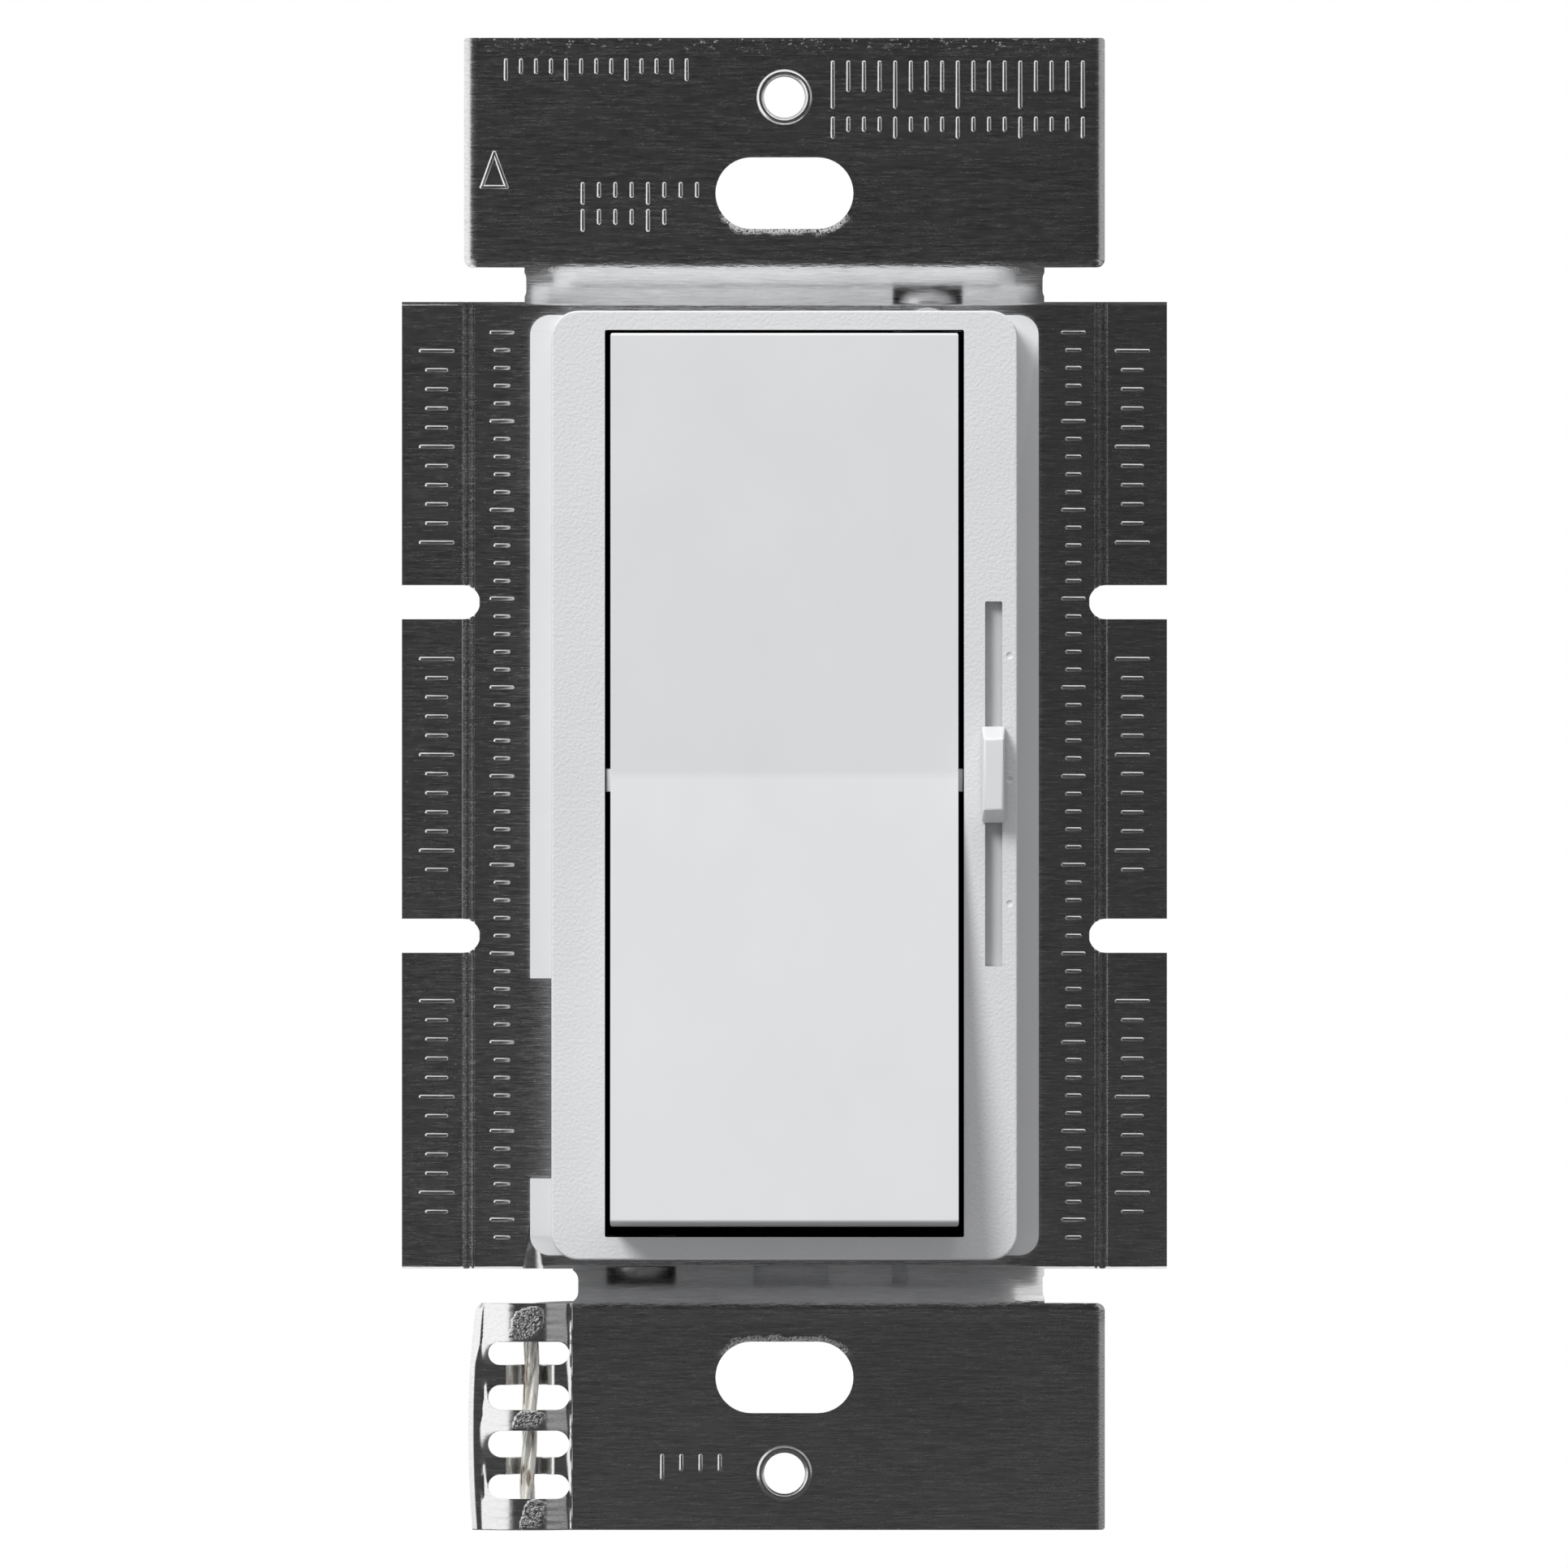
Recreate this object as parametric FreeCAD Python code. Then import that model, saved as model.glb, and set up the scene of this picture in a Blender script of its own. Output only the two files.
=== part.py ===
"""Fan speed control switch: a decorator rocker with a three-position slide beside it.

Millimetres. +Z is up and the front looks along -Y. The origin is the middle of
the two box-screw slots, on the back face of the strap's ears.
"""

import FreeCAD, Part
import math
import os

V = FreeCAD.Vector
os.makedirs("parts", exist_ok=True)

# Fastening points on the strap: 3.281 in and 3.812 in apart.
BOX_SCREW_SPACING = 83.34
BOX_SLOT_LENGTH = 9.7
BOX_SLOT_R = 2.52
PLATE_SCREW_SPACING = BOX_SCREW_SPACING + 13.5
PLATE_HOLE_R = 1.45

# Strap: one stamped aluminium sheet, ears forward and the middle plate set back.
SHEET = 1.3
STEP_BACK = 2.2
EAR_HALF_W = 22.55
EAR_CORNER_R = 1.0
TOP_EDGE = PLATE_SCREW_SPACING / 2 + 4.18
BOTTOM_EDGE = -PLATE_SCREW_SPACING / 2 - 3.98
EAR_INNER_Z = BOX_SCREW_SPACING / 2 - 5.22
PLATE_HALF_W = 26.95
PLATE_HALF_H = EAR_INNER_Z - 2.4
NECK_HALF_W = 18.3
BEND_FRONT_Z = EAR_INNER_Z - 0.15
BEND_RUN = 2.4
BEND_R = 0.9
CREASE_R = 0.3
RELIEF_R = 0.4
FIN_GAP = 2.4
FIN_GAP_Z = (12.9, -10.6)
FIN_GAP_END_X = PLATE_HALF_W - 5.5
SCORE_X = (PLATE_HALF_W - 5.0, PLATE_HALF_W - 4.55)
SCORE_HALF_W = (0.13, 0.27)
SCORE_DEPTH = (0.15, 0.3)
SCORE_PAST = 0.03

# Crimp that holds the bare ground conductor: four slots and five bars.
# The slots are given by how far their edges lie below the ear's inner edge.
CRIMP_X = -EAR_HALF_W + 4.55
CRIMP_HALF_W = 2.85
CRIMP_SLOTS = ((2.7, 4.35), (5.75, 7.5), (8.95, 10.85), (12.05, 13.75))
CRIMP_EDGE_IN = (0.9, 0.3)
CRIMP_EDGE_BOW = (6.05, 12.05)
CRIMP_EDGE_R = 3.0
BAR_ARCH = 1.1
BAR_ARCH_FLAT = 1.3
BAR_ARCH_FOOT = 2.45
BAR_TROUGH = 1.4
BAR_TROUGH_FLAT = 0.75
BAR_TROUGH_FOOT = 1.55
BAR_LEAN = 0.05
CONDUCTOR_R = 0.575
CONDUCTOR_END = 1.1
CRIMP_GAP = 0.02
NECK_LEFT_LOW = -CRIMP_X - CRIMP_HALF_W - 0.25

# Front mouldings: the bezel's size sets the flange, the well and the strap's opening.
BEZEL_HALF_W = 16.35
BEZEL_HALF_H = PLATE_HALF_H - 0.75
BEZEL_FACE_Y = -7.4
BEZEL_WALL = 1.0
BEZEL_FRONT_T = 1.5
BEZEL_CORNER_R = 1.9
BEZEL_BEVEL = 0.2
RIM_WALL = 0.9
FLANGE_T = 1.5
FLANGE_HALF_W = BEZEL_HALF_W + 1.55
FLANGE_HALF_H = BEZEL_HALF_H - 0.2
FLANGE_CORNER_R = 1.4
FLANGE_GAP_Z = (-13.6, -27.7)
FLANGE_GAP_IN = 1.2
LATCH_X = (-2.15, 3.1)
TONGUE_X = (-1.5, 2.1)
TONGUE_T = 0.4
SLIT_X = (7.6, 8.7)
NOTCH_DEPTH = 1.1
OPENING_HALF_W = BEZEL_HALF_W - 0.45
OPENING_HALF_H = BEZEL_HALF_H - 6.7
COLLAR_CLEAR = 0.2
COLLAR_WALL = 1.3
COLLAR_Y = 6.5
TAB_Z = BEZEL_HALF_H - 12.8
TAB_HALF_L = 2.5
TAB_OUT = 0.25
TAB_DEPTH = 1.1
TAB_CLEAR = 0.1
RIB_Z = BEZEL_HALF_H - 3.8
RIB_HALF_L = 8.0
RIB_HALF_W = 0.9
RIB_HEIGHT = 1.2

# Rocker paddle and its pivot.
WELL_HALF_W = BEZEL_HALF_W - 3.75
WELL_TOP = BEZEL_HALF_H - 1.35
WELL_BOTTOM = -BEZEL_HALF_H + 1.6
PADDLE_HALF_W = WELL_HALF_W - 0.4
PADDLE_TOP = WELL_TOP - 0.22
PADDLE_LOW = WELL_BOTTOM + 1.1
PADDLE_BREAK_Z = 0.7
PADDLE_PROUD = 0.2
PADDLE_DEPTH = 5.6
PADDLE_WALL = 1.35
PADDLE_END_DROP = 0.4
PADDLE_EDGE_R = 0.2
PADDLE_CORNER_R = 0.25
ROCK_DEG = 8.0
PIVOT_Y = BEZEL_FACE_Y + 4.4
PIVOT_Z = 0.35
PIVOT_R = 0.85
PIVOT_CLEAR = 0.05
PIVOT_REACH = 0.9
HUB_Y = PIVOT_Y + 1.3
HUB_HALF_H = 3.2
HUB_HOLLOW_Z = 2.6
PADDLE_RIB_X = 5.0
PADDLE_RIB_T = 1.0
POST_R = 2.4
POST_BORE_R = 1.65
POST_FLOOR = 0.5
POST_LENGTH = 6.3
PLUNGER_R = 1.55
PLUNGER_HEAD = (4.5, 7.7)
NOSE_R = 1.2
NOSE_REACH = 9.0
SPRING_R = 1.2
SPRING_WIRE = 0.3
SPRING_TURNS = 3.0
SPRING_START = 0.75
SPRING_LENGTH = 3.5
POST_ROOM_HALF = (4.2, 5.0)

# Contact rocker behind the paddle, driven by the plunger. Its sizes are from its own axis.
CRADLE_Y = PIVOT_Y + NOSE_REACH + 3.3
CRADLE_DEG = 6.0
CRADLE_HALF_W = 2.5
CRADLE_FRONT = 3.1
CRADLE_HALF_L = 2.9
CRADLE_WAIST = 0.2
CRADLE_BACK = 1.3
CRADLE_BACK_HALF = 1.8
CRADLE_BORE_R = 0.65
GROOVE_R = NOSE_R + 0.65
GROOVE_Y = -3.35
PIN_R = 0.6
PIN_FIT = 0.02
ARM_T = 0.6
ARM_HALF_W = 2.2
ARM_TOP = 4.5
ARM_PAST = 2.2
CONTACT_Z = -8.5
CONTACT_R = 1.6
CONTACT_T = 0.7
CONTACT_SHANK_R = 0.7
CONTACT_GAP = 0.05
FIXED_T = 0.8
TERMINAL_T = 0.6
TERMINAL_HALF_W = 2.3
TERMINAL_PAST = (3.6, 2.0)
BRACKET_GAP = 0.4
BRACKET_T = 0.7
BRACKET_EYE = 1.6
BRACKET_FOOT = 2.4

# Board and housing. The fixed contact's terminal reaches the board's front face.
BOARD_Y = CRADLE_Y + 5.9
BOARD_T = 1.6
BOARD_BACK = BOARD_Y + BOARD_T

# Speed slider.
KNOB_X = BEZEL_HALF_W - 1.69
SLOT_X = (KNOB_X - 0.58, KNOB_X + 0.62)
SLOT_Z = (12.9, -12.7)
SLOT_END_R = 0.1
SLOT_ROOM = 0.6
KNOB_Z = 0.75
KNOB_W = 1.65
KNOB_TOP_W = 1.25
KNOB_L = 6.74
KNOB_TOP_L = 5.04
KNOB_HEIGHT = 2.35
KNOB_EDGE_R = 0.15
KNOB_CLEAR = 0.15
STEM_T = 0.86
STEM_L = 6.4
FORK_DEPTH = 3.0
FORK_HALF = 1.6
TANG_T = 1.1
TANG_CLEAR = 0.1
DIMPLE_Z = (9.1, 0.4, -8.3)
SLOT_FACE_T = 0.8
POCKET_WALL = 0.6
SHUTTER_T = 0.3
SHUTTER_CLEAR = 0.1
SHUTTER_PAST = 0.6
DIMPLE_X = KNOB_X + 1.14
DIMPLE_R = 0.25
CASE_X = (KNOB_X - 3.46, KNOB_X + 3.54)
CASE_Y = (BOARD_Y - 6.5, BOARD_Y - 0.1)
CASE_MID_Z = 0.4
CASE_HALF_L = 16.0
CASE_WALL = 0.8
CASE_CORNER_R = 0.6
CASE_SLOT_HALF = 0.8
CASE_SLOT_PAST = 2.2
BASE_T = 1.0
BASE_CLEAR = 0.05
PAD_X = (KNOB_X - 1.96, KNOB_X - 0.56)
STRIP_X = (KNOB_X + 0.64, KNOB_X + 2.04)
PAD_HALF_L = 2.2
STRIP_PAST = 2.5
PAD_T = 0.5
PAD_CLEAR = 0.02
CARRIAGE_HALF_L = 4.4
CARRIAGE_T = 2.6
CARRIAGE_LIFT = 0.1
SLIDE_CLEAR = 0.3
NOTCH_Z = (-3.0, 0.0, 3.0)
NOTCH_HALF = 0.5
NOTCH_DEPTH = 0.4
WIPER_T = 0.25
WIPER_HALF_L = 1.6
WIPER_TIP_R = 0.35
WIPER_GAP = 0.1
LEAF_T = 0.12
LEAF_W = 1.8
LEAF_HALF_L = 12.5
LEAF_LIFT = 0.5

# Housing, what it holds and what joins it to the strap and the frame.
HOUSE_WALL = 1.7
HOUSE_HALF_W = CASE_X[1] + 1.6 + HOUSE_WALL
HOUSE_HALF_H = BEZEL_HALF_H + 0.4
HOUSE_BACK_Y = BOARD_BACK + 14.2
HOUSE_CORNER_R = 2.5
HOUSE_INNER_R = 1.2
HOUSE_BEVEL = 1.2
BOARD_HALF_W = HOUSE_HALF_W - 2.1
BOARD_HALF_H = HOUSE_HALF_H - 2.2
BOARD_CORNER_R = 1.0
BOSS_R = 2.4
COLUMN_R = 3.0
SCREW_X = OPENING_HALF_W - BOSS_R - 1.2
SCREW_Z = OPENING_HALF_H - BOSS_R - 0.9
PILOT_R = 1.1
PILOT_Y = 5.0
SCREW_R = 1.05
SCREW_REACH = 7.5
SCREW_CLEAR_R = 1.4
SCREW_HEAD_R = 2.3
SCREW_HEAD_T = 1.5
SCREW_HEAD_TAPER = 0.7
SCREW_SUNK = 0.5
HEAD_ROOM = 0.3
RIVET_TOP = (10.1, BEZEL_HALF_H - 1.8)
RIVET_BOTTOM = (-10.1, -BEZEL_HALF_H + 2.3)
RIVET_HEAD_R = 2.3
RIVET_HEAD_H = 1.2
RIVET_HEAD_ROOM = 0.15
RIVET_CROWN_R = 1.0
RIVET_CROWN_H = 0.4
RIVET_SHANK_R = 1.4
RIVET_LEDGE = 3.2
RIVET_TAIL_R = 2.1
RIVET_TAIL_T = 0.7
RIVET_ROOM = 2.6
RIVET_WALL = 1.2
SEAT = 0.05
SHEET_T = 0.25
SHEET_CLEAR = 0.2
LEAD_TAB_X = -BOARD_HALF_W + 3.9
LEAD_TAB_Z = (9.0, 3.0, -3.0)
LEAD_TAB_HALF = 1.2
LEAD_TAB_T = 0.5
LEAD_TAB_REACH = 3.0
LEAD_EXIT_SHIFT = 2.5
LEAD_EXIT_R = 1.6

# Parts on the back of the board, from the lower screw upwards.
LIFT = 0.5
FOOT_HALF = 0.6
FOOT_IN = 1.0
CAPACITOR_EDGE_R = 0.8
CAPACITOR_L = 26.5
CAPACITOR_IN = 1.9
CAPACITOR_X = (BOARD_HALF_W - CAPACITOR_IN - CAPACITOR_L, BOARD_HALF_W - CAPACITOR_IN)
CAPACITOR_T = 11.8
LARGE_IN = 3.8
LARGE_H = 11.0
LARGE_Z = (LARGE_IN - SCREW_Z, LARGE_IN + LARGE_H - SCREW_Z)
SMALL_GAP = 2.0
SMALL_H = 12.0
SMALL_Z = (LARGE_Z[1] + SMALL_GAP, LARGE_Z[1] + SMALL_GAP + SMALL_H)
NOISE_L = 15.0
NOISE_IN = 10.4
NOISE_X = (BOARD_HALF_W - NOISE_IN - NOISE_L, BOARD_HALF_W - NOISE_IN)
NOISE_GAP = 1.5
NOISE_H = 5.5
NOISE_Z = (SMALL_Z[1] + NOISE_GAP, SMALL_Z[1] + NOISE_GAP + NOISE_H)
NOISE_T = 9.0
SUPPRESSOR_X = 3.5
SUPPRESSOR_Z = NOISE_Z[1] + 5.5
SUPPRESSOR_R = 4.2
SUPPRESSOR_T = 4.2
RESISTOR_X = (0.5, 6.9)
RESISTOR_Z = (4.3 - BOARD_HALF_H, 1.7 - BOARD_HALF_H)
RESISTOR_R = 1.1
RESISTOR_WIRE = 0.4
RESISTOR_SPAN = 1.3

# Ground lead: green insulated, coiled behind the lower ear.
LEAD_R = 1.2
LEAD_X = CRIMP_X + 0.2
LEAD_Z = -EAR_INNER_Z - 1.5
LEAD_START_Y = 3.0
LEAD_TURN = 1.5
COIL_R = 15.0
COIL_INNER_R = 12.0
COIL_Y = LEAD_START_Y + 14.0
COIL_Z = LEAD_Z
TAIL_SHORT = 5.0

# Faces that follow from the sizes above, and how far a cut runs past a face.
EAR_FRONT = -SHEET
PLATE_FRONT = EAR_FRONT + STEP_BACK
PLATE_BACK = PLATE_FRONT + SHEET
FLANGE_FRONT = PLATE_FRONT - FLANGE_T
PADDLE_FACE_Y = BEZEL_FACE_Y - PADDLE_PROUD
HOUSE_FLOOR_Y = HOUSE_BACK_Y - HOUSE_WALL
HEAD_SEAT_Y = HOUSE_BACK_Y - SCREW_HEAD_T - SCREW_SUNK
RIVET_LEDGE_Y = PLATE_BACK + RIVET_LEDGE
OVER = 1.0


def block(x0, x1, y0, y1, z0, z1):
    """A box between two corners, given in any order."""
    low = V(min(x0, x1), min(y0, y1), min(z0, z1))
    return Part.makeBox(abs(x1 - x0), abs(y1 - y0), abs(z1 - z0), low)


def rod(radius, start, end):
    """A round bar between two points."""
    axis = end - start
    return Part.makeCylinder(radius, axis.Length, start, axis)


def front_point(u, v, depth):
    """A point of a front outline: u is X and v is Z."""
    return V(u, depth, v)


def side_point(u, v, depth):
    """A point of a side profile: u is Y and v is Z."""
    return V(depth, u, v)


def top_point(u, v, depth):
    """A point of a plan profile: u is X and v is Y."""
    return V(u, v, depth)


def rounded_wire(corners, place, depth):
    """A closed wire through (u, v, radius) corners, with an arc at each radius over zero."""
    spots = [place(u, v, depth) for u, v, _ in corners]
    edges = []
    ends = []
    for i, (_, _, radius) in enumerate(corners):
        here = spots[i]
        to_last = (spots[i - 1] - here).normalize()
        to_next = (spots[(i + 1) % len(spots)] - here).normalize()
        if radius <= 0:
            ends.append((here, here, None))
            continue
        half = to_last.getAngle(to_next) / 2
        reach = radius / math.tan(half)
        start = here + to_last * reach
        end = here + to_next * reach
        centre = here + (to_last + to_next).normalize() * (radius / math.sin(half))
        middle = centre + (here - centre).normalize() * radius
        ends.append((start, end, Part.Arc(start, middle, end).toShape()))
    for i, (start, end, arc) in enumerate(ends):
        if arc is not None:
            edges.append(arc)
        following = ends[(i + 1) % len(ends)][0]
        if (following - end).Length > 1e-6:
            edges.append(Part.LineSegment(end, following).toShape())
    return Part.Wire(edges)


def prism(corners, place, start, end):
    """A solid from a rounded outline, from one depth to another."""
    face = Part.Face(rounded_wire(corners, place, start))
    return face.extrude(place(0, 0, end) - place(0, 0, start))


def rounded_plate(half_w, half_h, radius, y0, y1):
    """A flat plate with rounded corners that faces along Y."""
    corners = [
        (-half_w, half_h, radius),
        (half_w, half_h, radius),
        (half_w, -half_h, radius),
        (-half_w, -half_h, radius),
    ]
    return prism(corners, front_point, y0, y1)


def turned(shape, degrees, y, z):
    """The shape turned about an axis along X through (y, z)."""
    copy = shape.copy()
    copy.rotate(V(0, y, z), V(1, 0, 0), degrees)
    return copy


def save(name, shape):
    """Write one node, and say how many solids it has and how large they are."""
    shape.exportStep("parts/" + name + ".step")
    print(name, len(shape.Solids), "solids", round(shape.Volume, 1), "mm3", shape.isValid())


def strap_profile():
    """The bent side profile of the strap, extruded across its whole width."""
    shift = SHEET * math.tan(math.atan2(STEP_BACK, BEND_RUN) / 2)
    front_in = BEND_FRONT_Z - BEND_RUN
    corners = [
        (EAR_FRONT, TOP_EDGE, 0),
        (EAR_FRONT, BEND_FRONT_Z, BEND_R),
        (PLATE_FRONT, front_in, CREASE_R),
        (PLATE_FRONT, -front_in, CREASE_R),
        (EAR_FRONT, -BEND_FRONT_Z, BEND_R),
        (EAR_FRONT, BOTTOM_EDGE, 0),
        (0, BOTTOM_EDGE, 0),
        (0, -BEND_FRONT_Z - shift, CREASE_R),
        (PLATE_BACK, -front_in - shift, BEND_R),
        (PLATE_BACK, front_in + shift, BEND_R),
        (0, BEND_FRONT_Z + shift, CREASE_R),
        (0, TOP_EDGE, 0),
    ]
    return prism(corners, side_point, -PLATE_HALF_W - OVER, PLATE_HALF_W + OVER)


def strap_outline():
    """The front outline of the strap: two ears, two necks and the plate with its fins."""
    left = -EAR_HALF_W
    bow_low = -EAR_INNER_Z - CRIMP_EDGE_BOW[1]
    bow_top = -EAR_INNER_Z - CRIMP_EDGE_BOW[0]
    corners = [
        (left, TOP_EDGE, 0),
        (EAR_HALF_W, TOP_EDGE, 0),
        (EAR_HALF_W, EAR_INNER_Z, EAR_CORNER_R),
        (NECK_HALF_W, EAR_INNER_Z, RELIEF_R),
        (NECK_HALF_W, PLATE_HALF_H, 0),
        (PLATE_HALF_W, PLATE_HALF_H, 0),
        (PLATE_HALF_W, -PLATE_HALF_H, 0),
        (NECK_HALF_W, -PLATE_HALF_H, 0),
        (NECK_HALF_W, -EAR_INNER_Z, RELIEF_R),
        (EAR_HALF_W, -EAR_INNER_Z, EAR_CORNER_R),
        (EAR_HALF_W, BOTTOM_EDGE, 0),
        (left + CRIMP_EDGE_IN[0], BOTTOM_EDGE, 0),
        (left + CRIMP_EDGE_IN[1], bow_low, CRIMP_EDGE_R),
        (left + CRIMP_EDGE_IN[1], bow_top, CRIMP_EDGE_R),
        (left + CRIMP_EDGE_IN[0], -EAR_INNER_Z, EAR_CORNER_R),
        (-NECK_LEFT_LOW, -EAR_INNER_Z, RELIEF_R),
        (-NECK_LEFT_LOW, -PLATE_HALF_H, 0),
        (-PLATE_HALF_W, -PLATE_HALF_H, 0),
        (-PLATE_HALF_W, PLATE_HALF_H, 0),
        (-NECK_HALF_W, PLATE_HALF_H, 0),
        (-NECK_HALF_W, EAR_INNER_Z, RELIEF_R),
        (left, EAR_INNER_Z, EAR_CORNER_R),
    ]
    return prism(corners, front_point, EAR_FRONT - OVER, PLATE_BACK + OVER)


def fin_cuts():
    """The gaps between the break-off fins and the score lines that they break along."""
    cuts = []
    half = FIN_GAP / 2
    back = PLATE_BACK + OVER
    for side in (-1, 1):
        for z in FIN_GAP_Z:
            end = side * (FIN_GAP_END_X + half)
            cuts.append(block(end, side * (PLATE_HALF_W + OVER), 0, back, z - half, z + half))
            cuts.append(rod(half, V(end, 0, z), V(end, back, z)))
        for x, half_w, depth in zip(SCORE_X, SCORE_HALF_W, SCORE_DEPTH):
            groove = [
                (side * x - half_w, PLATE_FRONT - SCORE_PAST, 0),
                (side * x + half_w, PLATE_FRONT - SCORE_PAST, 0),
                (side * x, PLATE_FRONT + depth, 0),
            ]
            cuts.append(prism(groove, top_point, -PLATE_HALF_H - OVER, PLATE_HALF_H + OVER))
    return cuts


def screw_cuts():
    """The box-screw slots and the tapped wall-plate holes, through both ears."""
    cuts = []
    reach = BOX_SLOT_LENGTH / 2 - BOX_SLOT_R
    front = EAR_FRONT - OVER
    for side in (-1, 1):
        z = side * BOX_SCREW_SPACING / 2
        cuts.append(block(-reach, reach, front, OVER, z - BOX_SLOT_R, z + BOX_SLOT_R))
        for x in (-reach, reach):
            cuts.append(rod(BOX_SLOT_R, V(x, front, z), V(x, OVER, z)))
        z = side * PLATE_SCREW_SPACING / 2
        cuts.append(rod(PLATE_HOLE_R, V(0, front, z), V(0, OVER, z)))
    return cuts


def bar_profile(bump, half_flat, half_foot):
    """Plan profile of one crimp bar: a sheet strip pushed forward (+) or back (-)."""
    shoulder = half_foot - BAR_LEAN
    front = [
        (-CRIMP_HALF_W, 0),
        (-shoulder, 0),
        (-half_flat, bump),
        (half_flat, bump),
        (shoulder, 0),
        (CRIMP_HALF_W, 0),
    ]
    corners = [(CRIMP_X + x, EAR_FRONT - rise, 0) for x, rise in front]
    corners += [(CRIMP_X + x, -rise, 0) for x, rise in reversed(front)]
    return corners


def crimp_slot_edges():
    """Top and low Z of each crimp slot."""
    return [(-EAR_INNER_Z - top, -EAR_INNER_Z - low) for top, low in CRIMP_SLOTS]


def crimp_bars():
    """Five bars: the odd ones arch forward over the conductor, the even ones dip behind it."""
    edges = crimp_slot_edges()
    tops = [-EAR_INNER_Z] + [low for _, low in edges]
    lows = [top for top, _ in edges] + [BOTTOM_EDGE]
    bars = []
    for i, (top, low) in enumerate(zip(tops, lows)):
        if i % 2 == 0:
            corners = bar_profile(BAR_ARCH, BAR_ARCH_FLAT, BAR_ARCH_FOOT)
        else:
            corners = bar_profile(-BAR_TROUGH, BAR_TROUGH_FLAT, BAR_TROUGH_FOOT)
        bars.append(prism(corners, top_point, low, top))
    return bars


def slot_corners():
    """The sheet left in the corners of the crimp slots, which gives them round ends."""
    corners = []
    for top, low in crimp_slot_edges():
        radius = (top - low) / 2
        middle = low + radius
        for side in (-1, 1):
            end = CRIMP_X - side * CRIMP_HALF_W
            centre = end + side * radius
            square = block(end, centre, EAR_FRONT, 0, low, top)
            round_end = rod(radius, V(centre, EAR_FRONT - OVER, middle), V(centre, OVER, middle))
            corners.append(square.cut(round_end))
    return corners


def make_strap():
    """The mounting strap, which is also the heat sink."""
    strap = strap_profile().common(strap_outline())
    cuts = fin_cuts() + screw_cuts()
    front = EAR_FRONT - OVER
    back = PLATE_BACK + OVER
    cuts.append(block(-OPENING_HALF_W, OPENING_HALF_W, front, back, -OPENING_HALF_H, OPENING_HALF_H))
    for x, z in (RIVET_TOP, RIVET_BOTTOM):
        cuts.append(rod(RIVET_SHANK_R + SEAT, V(x, 0, z), V(x, back, z)))
    left = CRIMP_X - CRIMP_HALF_W
    right = CRIMP_X + CRIMP_HALF_W
    cuts.append(block(left, right, front, OVER, -EAR_INNER_Z + SEAT / 5, BOTTOM_EDGE - OVER))
    strap = strap.cut(cuts)
    strap = strap.fuse(crimp_bars()).removeSplitter()
    return strap.fuse(slot_corners()).removeSplitter()


def make_rivets():
    """Two crowned rivets that hold the strap to the housing, each with a flared tail."""
    rivets = []
    back = V(0, 1, 0)
    for x, z in (RIVET_TOP, RIVET_BOTTOM):
        head_y = PLATE_FRONT - RIVET_HEAD_H
        crown_y = head_y + RIVET_CROWN_H
        shoulder_r = RIVET_HEAD_R - RIVET_CROWN_H
        crown = Part.makeCone(RIVET_CROWN_R, shoulder_r, RIVET_CROWN_H, V(x, head_y, z), back)
        skirt_h = RIVET_HEAD_H - RIVET_CROWN_H
        skirt = Part.makeCone(shoulder_r, RIVET_HEAD_R, skirt_h, V(x, crown_y, z), back)
        head = crown.fuse(skirt)
        shank = rod(RIVET_SHANK_R, V(x, PLATE_FRONT, z), V(x, RIVET_LEDGE_Y, z))
        tail = Part.makeCone(RIVET_TAIL_R, RIVET_SHANK_R, RIVET_TAIL_T, V(x, RIVET_LEDGE_Y, z), back)
        rivets.append(head.fuse([shank, tail]).removeSplitter())
    return Part.Compound(rivets)


def screw_places():
    """The two housing screws, on the other diagonal than the rivets."""
    return [(-SCREW_X, SCREW_Z), (SCREW_X, -SCREW_Z)]


def rivet_places():
    """Each rivet's place, and which way the nearest end of the device lies."""
    return [(RIVET_TOP, 1), (RIVET_BOTTOM, -1)]


def tab_boxes(grow, y0, y1):
    """Four locating tabs of the bezel, or their slots when grown."""
    boxes = []
    for side in (-1, 1):
        for z in (-TAB_Z, TAB_Z):
            x0 = side * (WELL_HALF_W + RIM_WALL - grow)
            x1 = side * (BEZEL_HALF_W - BEZEL_WALL - TAB_OUT + grow)
            boxes.append(block(x0, x1, y0, y1, z - TAB_HALF_L - grow, z + TAB_HALF_L + grow))
    return boxes


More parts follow.
